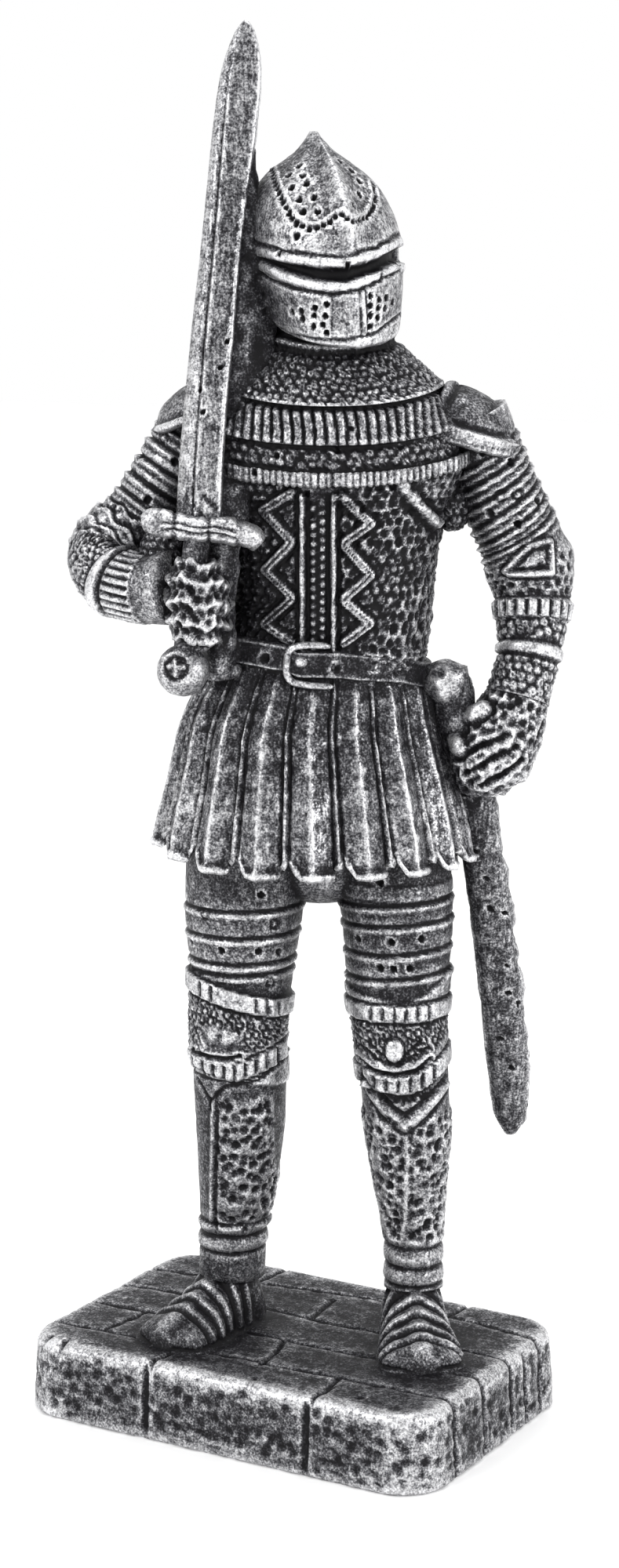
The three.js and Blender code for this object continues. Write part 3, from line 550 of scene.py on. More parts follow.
def foot(heel, turn, length, plates, slope, paint):
    """A sabaton from the heel to the toe, sunk into the plinth, with plates that overlap towards the toe."""
    table = [
        # distance from the heel, half width, height above the plinth
        (0, 1.6, 3),
        (0.12, 3.9, 7.5),
        (0.3, 4.6, 10.5),
        (0.5, 5, 7.4),
        (0.72, 5.9, 4.9),
        (0.92, 5.9, 3.4),
        (1, 3.2, 2.2),
    ]
    rows = through(table, np.linspace(0, 1, rows_for(length, FINE)))
    around = np.arange(96) / 96 * 2 * math.pi
    s, wide, high = (column[:, None] for column in rows.T)
    keel = 0.7 * bump(turn_from(around, math.pi / 2), 0.2)
    points = np.stack([
        wide * shaped(np.cos(around), 2.6),
        -s * length + 0 * around,
        (high + keel) * shaped(np.sin(around), 2.2),
    ], -1)
    skin = Skin(points, around)
    skin.tone += paint
    skin.p[..., 2] = np.maximum(skin.z, -2.0)
    above = ramp(skin.z, 0.7, 1.3)
    lie = -skin.y / length + slope * skin.x / length
    start, end = plates[0], plates[-1]
    relief = 0
    for edge in plates:
        step = (lie - edge) * length
        relief = relief - 0.5 * bump(step, 0.28) + 0.38 * bump(step + 0.75, 0.55)
    relief = relief * above * within(lie, start - 0.05, end + 0.05, 0.02)
    sole = 0.35 * within(skin.z, -1.5, 0.5, 0.3) - 0.3 * bump(skin.z - 0.9, 0.25)
    relief = relief + sole * (lie > 0.4) + 0.06 * noise(skin.p, 1.2, 61) * above
    skin.rise(relief)
    c, s = math.cos(turn), math.sin(turn)
    skin.p = skin.p @ np.array([[c, s, 0], [-s, c, 0], [0, 0, 1]]) + (heel[0], heel[1], PLINTH["height"] - 0.3)
    return skin


# The skirt, belt and breast

PLEATS = 18


def skirt():
    """Flutes of one number all round: a crested face, a narrow ridge beside it and a deep gap, with lobed ends."""
    table = [
        # x, y, z, half width, half depth
        (3.4, 0.4, 112, 14.6, 10),
        (3, 0.3, 107.3, 16.8, 11.8),
        (2.5, 0.2, 102.7, 18.3, 13.2),
        (2.6, 0, 98.2, 19.4, 14.2),
        (2.7, -0.2, 93.6, 20.5, 15.1),
        (2.8, -0.4, 88.6, 21.7, 16),
        (2.9, -0.6, 84.8, 22.4, 16.6),
    ]
    hem_lift = 2.6  # the hem rides up at the figure's right hip
    first = math.radians(11)
    around = angles(PLEATS * 23, 0.3)
    out_rows = np.linspace(0, 1, rows_for(27, 0.5))
    under = [(1.0, 0.5, 0.0), (0.985, 1.2, 0.4), (0.9, 2.2, 1.2), (0.75, 3.0, 1.5)]
    t = np.concatenate([out_rows, [row[0] for row in under]])
    inset = np.concatenate([0 * out_rows, [row[1] for row in under]])[:, None]
    raised = np.concatenate([0 * out_rows, [row[2] for row in under]])[:, None]
    x, y, z, across, deep = (column[:, None] for column in through(table, t).T)
    swing = around - FRONT
    phase = np.mod((swing - first) / (2 * math.pi / PLEATS), 1)
    face = np.clip(phase / 0.84, 0, 1)
    crest = 1 - np.abs(2 * face - 1) ** 1.25
    ridge = bump(phase - 0.91, 0.032)
    gap = bump(np.minimum(phase, 1 - phase), 0.03)
    groove = bump(phase - 0.845, 0.026)
    depth = (0.5 + 0.8 * t[:, None]) * (inset < 0.1)
    tier = depth * (1.05 * crest + 0.2 * bump(face - 0.5, 0.07) + 0.55 * ridge - 0.7 * gap - 0.6 * groove - 0.4)
    sided_end = np.minimum(1, (1 - np.abs(2 * phase - 1)) / 0.45)
    drop = 2.6 * (0.5 - sided_end) + hem_lift * np.maximum(0, -np.sin(swing)) ** 4
    lower = ramp(t[:, None], 0.62, 1.0)
    points = np.stack([
        x + (across + tier - inset) * np.sin(swing),
        y - (deep + tier - inset) * np.cos(swing),
        z + drop * lower + raised,
    ], -1)
    skin = Skin(points, around)
    rim = skin.z - (points[len(out_rows) - 1, :, 2])[None]
    outer = (inset < 0.1) * np.ones_like(rim)
    skin.brushed += 0.45
    skin.tone += 0.12 * bump(face - 0.5, 0.12) - 0.04
    relief = outer * (0.42 * bump(rim, 0.5) - 0.16 * bump(rim - 1.2, 0.35) * (crest > 0.25))
    relief += outer * (0.08 * noise(skin.p, 0.9, 71) + 0.08 * noise(skin.p * (1, 1, 0.3), 0.6, 72))
    return skin.rise(relief)


TORSO = [
    (3.4, 0.4, 108, 14.6, 10, 2.2),
    (4, 0.2, 114, 14.9, 10.6, 2.2),
    (4.9, -0.1, 119, 14.8, 11.4, 2.2),
    (5.2, -0.3, 124, 14.9, 12, 2.2),
    (5.2, -0.3, 129, 15.7, 12.5, 2.2),
    (5.1, -0.2, 134, 17, 12.7, 2.3),
    (5.1, 0, 139, 18.6, 12.5, 2.3),
    (5.2, 0.3, 144, 18.4, 11.8, 2.2),
    (5.3, 0.5, 149, 14.4, 10, 2.1),
    (5.3, 0.4, 154, 9.6, 8.8, 2),
    (5.3, 0.2, 160, 8.4, 8, 2),
]


def torso():
    skin = limb(TORSO, FINE, TORSO_TURN, 0.45, girth=2 * math.pi * 13)
    u, v = skin.lengths()
    x, z = skin.x, skin.z
    front = skin.y < 0
    zigzags = [
        [(6.7, 135.9), (10.8, 132.2), (6.9, 129.5), (10.8, 125.0), (6.9, 121.6), (10.8, 118.2), (7.0, 115.4)],
        [(-0.1, 136.4), (-4.3, 133.8), (-0.2, 129.6), (-4.2, 125.4), (-0.2, 121.7), (-4.3, 117.8), (-0.1, 115.2)],
    ]
    lines = [to_path(skin.p, skin.path(line, 8)) for line in zigzags]
    placket = within(x, 0.4, 6.4, 0.3) * front
    lacing = np.max([within(away, 0, 0.75, 0.25) for away in lines], axis=0)
    worn = ramp(noise(skin.p, 6, 83) + 0.08 * (x - 8), -0.25, 0.35)  # here the scales are punched, there domed
    scales = mail(u, v, 1.42, 81, 0.26) * (1 - worn) + (1.1 * pits(u, v, 1.5, 82) + 0.35) * worn
    relief = 0.62 * scales * (1 - placket) * (1 - lacing)
    for away in lines:
        relief += 0.5 * within(away, 0, 0.5, 0.25) - 0.3 * bump(away, 0.14) - 0.4 * bump(away - 1.0, 0.28)
    relief -= 0.3 * placket * within(z, 112, 136.4)
    for at in (1.2, 5.6):
        rib = 0.9 * within(x, at - 0.22, at + 0.22, 0.26) - 0.45 * bump(np.abs(x - at) - 0.85, 0.2)
        relief += front * within(z, 112, 136.2) * rib
    for k, at in enumerate((2.75, 4.05)):
        bead = np.hypot(x - at, (np.mod(z / 1.25 + 0.5 * k, 1) - 0.5) * 1.25)
        relief += front * within(z, 114, 135.2) * (0.65 * np.clip(1 - (bead / 0.58) ** 2, 0, 1) - 0.2)
    strap = to_path(skin.p, skin.path([(15.0, 137.6), (16.9, 135.1), (18.6, 133.3), (20.4, 131.6)]))
    relief += 0.9 * within(strap, 0, 0.45, 0.5) - 0.4 * bump(strap - 1.4, 0.35)
    hollow = bump(x + 4.2, 4.2) * bump(z - 121.5, 4.0) * front
    relief -= 0.6 * hollow
    relief += skin.holes([(2.6, 133.3), (1.9, 136.4), (9.6, 134.2)], 0.45)
    return skin.rise(relief)


def mantle():
    """A mail cape in two tiers: a fringe hangs under the first and a ticked band edges the second."""
    table = [
        # height at the sides, half width, half depth, extra fall at the front
        (161.6, 7.8, 8.8, 1.5),
        (157.0, 9.0, 9.8, 1.5),
        (153.8, 12.4, 11.6, 2.2),
        (151.0, 15.6, 13.1, 2.4),
        (150.6, 15.9, 13.3, 2.4),
        (150.3, 15.2, 12.9, 2.4),
        (148.0, 17.0, 13.2, 2.5),
        (145.7, 18.8, 13.6, 2.6),
        (145.3, 18.2, 13.1, 2.6),
        (142.3, 19.4, 13.7, 2.8),
        (142.0, 20.0, 14.3, 2.8),
        (140.4, 20.0, 14.3, 2.8),
        (140.2, 18.6, 12.6, 2.8),
    ]
    table = np.array(table)
    run = np.concatenate([[0], np.cumsum(np.hypot(np.diff(table[:, 0]), np.diff(table[:, 1])))])
    at = np.linspace(0, run[-1], rows_for(run[-1], FINE))
    z, across, deep, fall = (np.interp(at, run, table[:, k])[:, None] for k in range(4))
    around = angles(rows_for(2 * math.pi * 15.5, FINE * 1.15), 0.4)
    points = np.stack([
        5.2 + across * shaped(np.cos(around), 2.2),
        -0.2 + deep * shaped(np.sin(around), 2.2),
        z - fall * np.maximum(0, -np.sin(around)) ** 1.5,
    ], -1)
    skin = Skin(points, around)
    u, v = skin.lengths()
    z = z + 0 * u
    upper = within(z, 150.9, 162)
    fringe = within(z, 145.8, 150.1)
    lower = within(z, 142.4, 145.0)
    hem = within(z, 140.4, 142.1, 0.1)
    relief = 0.55 * mail(u, v, 1.12, 91, 0.26) * upper * ramp(-z, -158.6, -157.2)
    relief += 0.6 * mail(u, v, 1.3, 92, 0.26) * lower
    slot = np.abs(np.mod(u / 1.47 + 0.3 * noise(skin.p, 6, 93), 1) - 0.5) * 1.47
    relief += fringe * (0.35 - 0.85 * bump(slot, 0.19) + 0.2 * noise(skin.p, 0.9, 94))
    relief += 0.2 * bump(z - 146.0, 0.3) + 0.2 * bump(z - 150.9, 0.3) - 0.7 * bump(z - 150.2, 0.3)
    relief -= 0.5 * bump(z - 145.2, 0.25)
    notch = np.abs(np.mod(u / 0.95, 1) - 0.5) * 0.95
    skin.tone -= 0.1 * hem + 0.06 * fringe
    relief += hem * (0.4 - 0.5 * bump(notch, 0.14) + 0.2 * noise(skin.p, 1.6, 95)) - 0.45 * bump(z - 142.3, 0.22)
    relief += 0.5 * bump(z - 157.6, 0.3) - 0.7 * bump(z - 158.6, 0.5) - 0.4 * bump(z - 156.7, 0.35)
    relief += skin.holes([(-2.1, 150.2 - 8.6), (6.1, 142.2), (8.0, 145.2), (-5.0, 139.2)], 0.4)
    return skin.rise(relief)


BELT_LINE = [(-12, 114.9), (-8, 114.1), (-1, 113.3), (0.6, 112.5), (6, 112.4), (15, 111.3), (19, 109.8)]
WAIST = dict(x=3.7, y=0.2, across=14.9, deep=10.5)


def belt():
    """A strap round the waist that drops towards the scabbard, with pierced holes."""
    profile = [(-2.1, -0.8), (-1.95, 0.3), (-1.7, 0.9), (-1.2, 1.05), (1.2, 0.95), (1.7, 0.8), (1.95, 0.2), (2.1, -0.8)]
    rows = through(profile, np.linspace(0, 1, 22))
    level, out = rows[:, :1], rows[:, 1:]
    around = angles(rows_for(2 * math.pi * 13, FINE), 0.4)
    x = WAIST["x"] + (WAIST["across"] + out) * np.cos(around)
    y = WAIST["y"] + (WAIST["deep"] + out) * np.sin(around)
    front = ramp(-np.sin(around), 0.0, 0.3)
    middle = np.interp(x, *zip(*BELT_LINE)) * front + (112.05 - 2.3 * np.cos(around)) * (1 - front)
    skin = Skin(np.stack([x, y, level + middle], -1), around)
    relief = 0.28 * (bump(level - 1.5, 0.28) + bump(level + 1.5, 0.28)) - 0.1 + 0.09 * noise(skin.p, 1.3, 101)
    skin.tone -= 0.06
    relief += skin.holes([(-3.9, 113.6), (5.9, 112.2), (11.3, 111.8), (14.7, 111.1)], 0.66, 0.8)
    return skin.rise(relief)


def tube(table, spacing=FINE):
    """A round bar along a smooth path: each row of the table holds x, y, z and the radius."""
    table = np.asarray(table, float)
    length = np.linalg.norm(np.diff(table[:, :3], axis=0), axis=1).sum()
    rows = through(table, np.linspace(0, 1, rows_for(length, spacing)))
    centre, radius = rows[:, :3], rows[:, 3:]
    along = np.gradient(centre, axis=0)
    along /= np.linalg.norm(along, axis=1, keepdims=True)
    side = np.cross(along, (0.05, -1, 0.1))
    side /= np.linalg.norm(side, axis=1, keepdims=True)
    up = np.cross(side, along)
    around = angles(max(12, rows_for(2 * math.pi * radius.max(), spacing)), 0)
    ring = side[:, None] * np.cos(around)[:, None] + up[:, None] * np.sin(around)[:, None]
    return Skin(centre[:, None] + radius[:, None] * ring, around)


def on_belt(points, proud):
    """Turns points given as x, z and radius into rows of a bar that lies on the belt."""
    rows = []
    for x, z, radius in points:
        swing = math.sqrt(1 - ((x - WAIST["x"]) / (WAIST["across"] + 1)) ** 2)
        rows.append((x, WAIST["y"] - (WAIST["deep"] + 1) * swing - proud, z, radius))
    return rows


def buckle():
    """A frame of round bar, the rolled end of the strap in it and a stud under the belt."""
    loop = [(5.2, 115.0, 0.2), (4.4, 115.2, 0.45), (2.2, 115.3, 0.5), (0.3, 115.0, 0.52), (-0.6, 114.2, 0.52)]
    loop += [(-0.85, 112.6, 0.52), (-0.8, 111.1, 0.52), (0.0, 110.1, 0.5), (2.0, 109.7, 0.48)]
    loop += [(4.8, 109.5, 0.45), (5.6, 109.5, 0.2)]
    strap = [(0.3, 113.0, 0.2), (0.5, 113.0, 0.7), (1.2, 112.9, 0.85), (2.0, 112.8, 0.4)]
    bars = [tube(on_belt(loop, 0.15)), tube(on_belt(strap, -0.1))]
    return bars + [lump((-8.2, -7.2, 111.3), (1.1, 1.1, 1.1), FINE)]


# The arms

RIGHT_ARM = [
    (-12, 2.6, 146.4, 5, 5.6),
    (-14.6, 2.8, 142, 5.4, 6),
    (-18, 2.6, 136.6, 5.3, 5.8),
    (-22, 2.2, 131, 5.2, 5.6),
    (-26.4, 0.4, 126.6, 5.3, 5.4),
    (-25, -3.2, 123.6, 4.9, 4.9),
    (-20.8, -6.8, 122.6, 4.7, 4.6),
    (-16.6, -9.6, 123, 5.2, 4.6),
]
LEFT_ARM = [
    (24.4, 0.8, 146, 5.8, 6.4),
    (27, 1.2, 140, 5.6, 6),
    (29.6, 1.7, 134, 5.7, 6),
    (32.2, 2.2, 128.4, 5.9, 6.1),
    (33.8, 2, 123, 5.9, 6),
    (33.9, 0.9, 117.4, 5.1, 5.5),
    (33.3, -0.8, 112, 4.4, 4.8),
    (31.8, -2.2, 106.5, 4.5, 4.8),
]


def right_arm():
    skin = limb(RIGHT_ARM, FINE, -0.5, 0.2)
    u, v = skin.lengths()
    skin.rise(0.4 * bump(v - 22.5, 2.6))
    relief = 0.05 * noise(skin.p, 1.1, 111)
    for edge in (4.4, 7.2, 10.2, 13.0, 15.8):
        relief += lame(edge - v, 0.42, 0.6) + 0.22 * bump(v - edge - 1.75, 0.25)
    for k, edge in enumerate((18.4, 20.8, 23.2, 25.4)):
        relief += lame(edge - v + 0.45 * np.sin(u * 1.5 + 1.7 * k), 0.4, 0.45)
    relief += 0.25 * noise(skin.p, 1.3, 112) * within(v, 18, 25)
    relief += 0.6 * mail(u, v, 1.15, 113) * within(v, 26.2, 32.6)
    relief += band(v, 33.4, 34.7, 0.55)
    relief += 0.3 * within(v, 35.4, 40) + ticks(u, 1.25, v, 35.4, 40, 0.65, 0.24)
    relief += skin.holes([(-15.9, 145.4), (-20.3, 134.6), (-21.3, 140.4), (-16.4, 140.0)], 0.55)
    rivet = skin.near([(-22.6, 138.2), (-24.6, 133.4), (-18.0, 143.2)])
    relief += 0.3 * bump(rivet, 0.3) - 0.3 * bump(rivet - 0.65, 0.2)
    return skin.rise(relief)


def left_arm():
    skin = limb(LEFT_ARM, FINE, 0.3, 0.25)
    u, v = skin.lengths()
    slant = v + 0.16 * u  # the plates climb towards the outside
    skin.rise(0.4 * bump(v - 23.5, 2.2) + 0.45 * bump(v - 22.6, 1.6) * ramp(u, 3, 6))
    relief = 0.05 * noise(skin.p, 1.1, 121)
    for edge in (5.6, 8.2, 10.8, 13.4, 16.0, 18.2):
        relief += lame(edge - slant, 0.4, 0.5) - 0.3 * bump(slant - edge - 0.95, 0.16)
        relief += 0.2 * bump(slant - edge - 1.7, 0.2)
    cop = [(29.6, 124.6), (33.2, 128.4), (36.2, 128.8), (36.4, 124.4), (30.2, 124.2), (29.6, 124.6)]
    edge = to_path(skin.p, skin.path(cop))
    relief += 0.5 * bump(edge, 0.32) - 0.35 * bump(edge - 0.75, 0.25)
    relief += 0.5 * pits(u, v, 1.7, 122) * within(v, 22.4, 27.6) * ramp(edge, 0.4, 0.8)
    relief += 0.45 * within(v, 28.3, 30.7) + ticks(u, 1.75, v, 28.1, 30.9, 0.8, 0.28, 0.2)
    relief -= 0.4 * bump(v - 28.0, 0.22)
    relief += 0.55 * mail(u, v, 1.45, 123, 0.24) * within(v, 31.2, 34.4)
    relief += band(v, 34.9, 36.3, 0.35)
    relief += 0.6 * mail(u, v, 1.5, 124, 0.24) * within(v, 36.8, 42)
    holes = [(26.5, 141.3), (23.4, 138.4), (30.4, 139.9), (27.6, 132.8), (31.4, 131.4), (34.2, 134.3)]
    relief += skin.holes(holes, 0.55)
    rivet = skin.near([(31.3, 135.5), (28.8, 135.2)])
    relief += 0.35 * bump(rivet, 0.35) - 0.35 * bump(rivet - 0.75, 0.22)
    return skin.rise(relief)


def pauldron(middle, radius, lean, rim):
    """A dome of circles about its crown, turned under at its edge, with a raised rim along a line."""
    bow = np.concatenate([np.linspace(0.03, 1.07, rows_for(radius[2] * 1.7, FINE)), [1.09]])[:, None]
    flare = 1 + 0.06 * ramp(bow, 0.9, 0.96) - 0.16 * ramp(bow, 1.06, 1.09)
    around = angles(rows_for(2 * math.pi * radius[0] * 0.8, FINE), 0.2)
    reach = np.sin(bow * math.pi / 2) * flare
    x, y, z = radius[0] * reach * np.cos(around), radius[1] * reach * np.sin(around), radius[2] * np.cos(bow * math.pi / 2)
    c, s = math.cos(lean), math.sin(lean)
    skin = Skin(np.stack([x * c + z * s, y, z * c - x * s], -1) + middle, around)
    skin.tone -= 0.12 * (bow < 0.88)
    skin.brushed += 0.5
    relief = 0.1 * noise(skin.p, 1.2, 131) + 0.12 * noise(skin.p, 3.0, 132)
    if rim:
        edge = to_path(skin.p, skin.path(rim))
        relief += 0.55 * within(edge, 0, 0.35, 0.4) - 0.3 * bump(edge - 1.2, 0.35)
    relief += 0.3 * within(bow, 0.9, 1.0, 0.03)
    return skin.rise(relief)


def armpit(middle, size):
    """The resin left in the crook of an arm: an ellipsoid, rough with mail and darkened as painted shade."""
    skin = lump(np.array(middle), size, FINE)
    u, v = skin.lengths()
    # painted shade: the crook of the arm is darkened
    skin.tone -= 0.14
    return skin.rise(0.5 * mail(u, v, 1.3, 135) + 0.1 * noise(skin.p, 1.2, 136))


def fist():
    """Fingers closed round the grip in a gauntlet: wavy ridges with pits punched between them."""
    middle, size = np.array((-13.0, -11.4, 121.4)), (4.5, 4.8, 6.9)
    h = np.linspace(-1, 1, 25)
    full = np.sqrt(np.maximum(0.06, 1 - np.abs(h) ** 2.6))
    table = [(*(middle + (0, 0, size[2] * a)), size[0] * b, size[1] * b, 2.4) for a, b in zip(h, full)]
    skin = limb(table, 0.3, -0.2, 0.3)
    u, v = skin.lengths()
    climb = v + 0.1 * u + 0.4 * np.sin(u * 1.1)
    relief = 0.4 * np.cos(2 * math.pi * climb / 2.9) + 0.75 * pits(u, climb, 1.65, 141, 0.28)
    relief += 0.3 * noise(skin.p, 1.0, 142)
    return skin.rise(relief * ramp(np.abs(v - v.max() / 2), v.max() / 2, v.max() / 2 - 1))


def resting_hand():
    """The hand over the scabbard's mouth: a punched back, a thumb inside and three fingers curled under."""
    table = [
        (32.4, -1.6, 107.6, 4.3, 4.7, 2),
        (30.6, -2.6, 103.4, 5.4, 5.2, 2.2),
        (28.6, -3, 99.4, 6, 5.4, 2.4),
        (27.4, -3.2, 95.6, 5.4, 4.8, 2.4),
        (27.4, -3.2, 92.8, 3, 3, 2),
    ]
    skin = limb(table, 0.3, 0.0, 0.3)
    u, v = skin.lengths()
    palm = skin.x * 0.55 - (skin.z - 100) * 0.83
    relief = 0.6 * pits(u, v, 1.6, 151, 0.26) * (1 - 0.5 * ramp(palm, 18.2, 19.0))
    for line in ([(23.0, 98.6), (26.0, 100.4), (30.0, 102.2)], [(24.2, 96.4), (27.6, 98.6), (31.4, 100.4)],
                 [(26.4, 94.8), (29.4, 96.4), (32.2, 98.6)]):
        away = to_path(skin.p, skin.path(line))
        relief += 0.45 * bump(away - 0.8, 0.4) - 0.75 * bump(away, 0.32)
    thumb = to_path(skin.p, skin.path([(26.6, 105.4), (24.0, 103.6), (22.8, 101.4), (23.4, 99.8)]))
    relief = relief * ramp(thumb, 0.6, 1.4) + 1.1 * np.sqrt(np.clip(1 - (thumb / 1.3) ** 2, 0, 1)) - 0.5 * bump(thumb - 1.6, 0.3)
    relief += 0.2 * noise(skin.p, 0.9, 152)
    return skin.rise(relief)


# The sword and scabbard

BLADE = [
    # x, y, z, half width, half thickness, depth of the fuller
    (-12.9, -12.4, 131, 3.1, 1.6, 0.5),
    (-12.5, -11.2, 140, 3.05, 1.6, 0.5),
    (-11.8, -9.9, 149, 2.95, 1.6, 0.5),
    (-10.9, -8.4, 158, 2.95, 1.55, 0.5),
    (-10, -6.9, 167, 2.8, 1.5, 0.5),
    (-9, -5.4, 176, 2.85, 1.5, 0.5),
    (-7.9, -3.8, 185, 3.05, 1.45, 0.45),
    (-7, -2.6, 193, 2.75, 1.3, 0.2),
    (-6.5, -1.9, 198, 1.5, 0.9, 0),
    (-6.4, -1.7, 199.9, 0.25, 0.3, 0),
]


def blade():
    """A flat section carried from the guard to the tip: a bevel, a fuller line, a face and a raised edge."""
    rows = through(BLADE, np.linspace(0, 1, rows_for(69, 0.42)))
    x, y, z, wide, thick, fuller = (column[:, None] for column in rows.T)
    lap = np.arange(80) / 20  # twice across the section, once on each face
    u = np.where(lap < 2, lap - 1, 3 - lap)
    face = np.where(lap < 2, 1, -1)
    line = np.interp(z, (131, 150, 170, 190, 200), (-0.3, -0.34, -0.42, -0.6, -0.7))
    bevel = 0.25 + 0.75 * np.clip((u + 1) / np.maximum(1 + line, 0.1), 0, 1)
    body = np.where(u < line, bevel, 1 - 0.1 * ramp(u, 0.1, 0.6) - 0.7 * ramp(u, 0.93, 1.0))
    skin = Skin(np.stack([x + u * wide, y - face * body * thick, z + 0 * u], -1), lap)
    skin.brushed += 0.9
    skin.tone += 0.02
    front = (face > 0) * (z < 196)
    speck = noise(skin.p, 0.55, 161) + 0.7 * noise(skin.p * (1, 1, 0.5), 1.2, 162)
    relief = front * fuller * (-1.0 * bump((u - line) * wide, 0.24) + 0.3 * bump((u - line) * wide - 0.55, 0.3))
    relief += front * 0.3 * bump((u - 0.84) * wide, 0.3) * (z < 176) + 0.06 * speck * (u > line)
    relief += skin.holes([(-8.9, 156.7), (-9.8, 153.2), (-12.2, 147.5), (-12.6, 150.6)], 0.34)
    nicks = [skin.path([(-13.7, 135.2), (-12.2, 133.4)]), skin.path([(-12.0, 136.0), (-10.4, 134.4)])]
    for nick in nicks:
        relief -= 0.4 * bump(to_path(skin.p, nick), 0.25)
    return skin.rise(relief)


def web():
    """The resin behind the blade, which joins it to the helmet, the shoulder and the breast."""
    table = [
        (-10.4, -5.6, 110.4, 2.6, 3.2, 2.6),
        (-10.6, -7.2, 122, 2.4, 4, 2.6),
        (-9.6, -6.8, 133, 3, 4.8, 2.6),
        (-7.8, -5.4, 144, 3.4, 4.2, 2.6),
        (-6.8, -4.6, 155, 4.4, 4, 2.6),
        (-6.4, -4.4, 166, 3.4, 3.2, 2.6),
        (-6.4, -4.2, 175, 2, 2.4, 2.4),
        (-6.2, -3.6, 182, 1.1, 1.2, 2),
        (-6.4, -3.2, 188, 0.4, 0.5, 2),
    ]
    skin = limb(table, PLAIN, 0.3, 0.2)
    # painted shade: the web is darkened where it sits in the shadowed gap behind the blade and the fist
    skin.tone -= 0.2
    return skin.rise(0.3 * noise(skin.p * (1, 1, 0.4), 1.6, 171) + 0.2 * noise(skin.p, 1.2, 172))


def hilt():
    """A fat crossguard with carved ovals along it, a grip and a round pommel with a cross in a ring."""
    table = [
        (-20.4, -12, 132.2, 1.1, 1.2, 2),
        (-19.2, -12.2, 132.4, 1.9, 1.9, 2),
        (-16, -12.7, 132, 1.6, 1.8, 2),
        (-12.6, -13, 131.6, 1.6, 2, 2),
        (-9, -13, 131.4, 1.6, 1.9, 2),
        (-6, -12.6, 130.6, 1.8, 1.9, 2),
        (-4.7, -12.3, 129.4, 1.3, 1.4, 2),
    ]
    guard = limb(table, 0.3, 0.0, 0.2)
    middle = np.interp(guard.x, [row[0] for row in table], [row[2] for row in table])
    lift = guard.z - middle + 0.14 * np.sin(guard.x * 1.3)
    run = within(guard.x, -17.6, -8.0, 0.5) * (guard.y < -12.4)
    relief = run * (0.3 - 0.55 * bump(np.abs(lift) - 0.45, 0.2) - 0.4 * bump(np.mod(guard.x / 4.6, 1) - 0.5, 0.06))
    guard.rise(relief + 0.12 * noise(guard.p, 1.4, 181))
    grip = limb([(-13, -12.2, 131, 1.9, 1.9), (-14.2, -12, 121, 1.8, 1.8), (-15, -11.8, 112, 1.7, 1.7)], COARSE)
    pommel = lump(np.array((-15.2, -11.8, 111.8)), (3.6, 3.1, 3.6), 0.3)
    disc = pommel.place(-16.2, 112.7)
    away = np.linalg.norm(pommel.p - disc, axis=-1)
    across, up = pommel.x - disc[0], pommel.z - disc[2]
    cross = np.maximum(bump(across, 0.35), bump(up - 0.1, 0.35)) * (away < 1.5)
    relief = -0.55 * bump(away - 1.75, 0.3) - 0.35 * within(away, 0, 1.4) + 0.5 * cross
    relief += 0.1 * noise(pommel.p, 1.0, 182)
    return [guard, grip, pommel.rise(relief)]


def scabbard():
    """A flat sheath that trails back from the hip, rough all over, with ragged flash down its outer edge."""
    table = [
        (22.8, -3, 111, 2, 2, 2.2),
        (23, -2.6, 105, 3, 2.4, 2.4),
        (25, -1.6, 97, 2.9, 2.3, 2.4),
        (26.6, 0, 87, 2.95, 2.2, 2.4),
        (28.2, 1.8, 77, 3, 2.1, 2.4),
        (29.4, 3.4, 68, 3, 2, 2.4),
        (30.6, 5, 58, 3, 1.9, 2.4),
        (31.6, 6.5, 49, 3, 1.8, 2.3),
        (32.2, 7.5, 42.4, 2.3, 1.5, 2),
        (32.2, 8, 39.2, 0.7, 0.6, 2),
    ]
    skin = limb(table, 0.38, 0.0, 0.25)
    skin.brushed += 0.7
    skin.tone -= 0.16
    flash = bump(turn_from(skin.around, 0), 0.28) * np.ones_like(skin.x)
    ragged = np.interp(skin.z, (40, 46, 50, 56, 62, 64, 70, 76, 84, 90, 95), (0, 0.2, 0.9, 0.3, 1, 0.8, 0.1, 0.5, 0.1, 0.5, 0))
    relief = 0.7 * flash * ragged + 0.4 * flash * noise(skin.p, 1.3, 191)
    relief += 0.14 * noise(skin.p * (1, 1, 0.6), 1.5, 192) + 0.07 * noise(skin.p, 0.6, 193)
    spots = [(26.2, 84.0), (27.6, 80.0), (28.4, 75.2), (30.6, 74.6), (31.0, 66.4), (31.4, 62.0), (30.2, 55.0)]
    relief += skin.holes(spots + [(32.8, 60.2), (32.2, 50.2), (24.2, 92.6)], 0.36)
    knob = lump(np.array((21.8, -2.6, 108.6)), (3.4, 3, 2.9), 0.32)
    knob.rise(0.5 * noise(knob.p, 1.9, 194) + 0.5 * hammered(knob.p, 2.1, 195) + 0.3)
    return [skin.rise(relief), knob]


# The helmet

HELMET = [
    # level at the sides, half width, half depth, x and y of the middle, fall towards the front
    (159.1, 7.6, 9.8, 5.6, -3.2, 0.29),
    (159.1, 8.9, 11.0, 5.6, -3.2, 0.29),
    (160.4, 9.1, 11.4, 5.5, -3.2, 0.29),
    (163.4, 9.6, 11.9, 5.2, -3.1, 0.29),
    (166.4, 10.1, 12.3, 4.9, -3, 0.29),
    (168.4, 10.3, 12.4, 4.7, -3, 0.28),
    (170.3, 10.4, 12.3, 4.5, -3, 0.27),
    (172.2, 10.3, 12.1, 4.3, -2.9, 0.25),
    (174.4, 9.9, 11.5, 4, -2.6, 0.2),
    (176.8, 8.9, 10.3, 3.7, -2.2, 0.16),
    (178.8, 7.4, 8.6, 3.5, -1.7, 0.12),
    (180.6, 5.2, 6.4, 3.4, -1, 0.08),
    (182.4, 2.6, 3.6, 3.1, -0.2, 0.04),
    (184.2, 1, 1.6, 2.9, 0.3, 0),
    (185.5, 0.35, 0.5, 2.9, 0.4, 0),
]
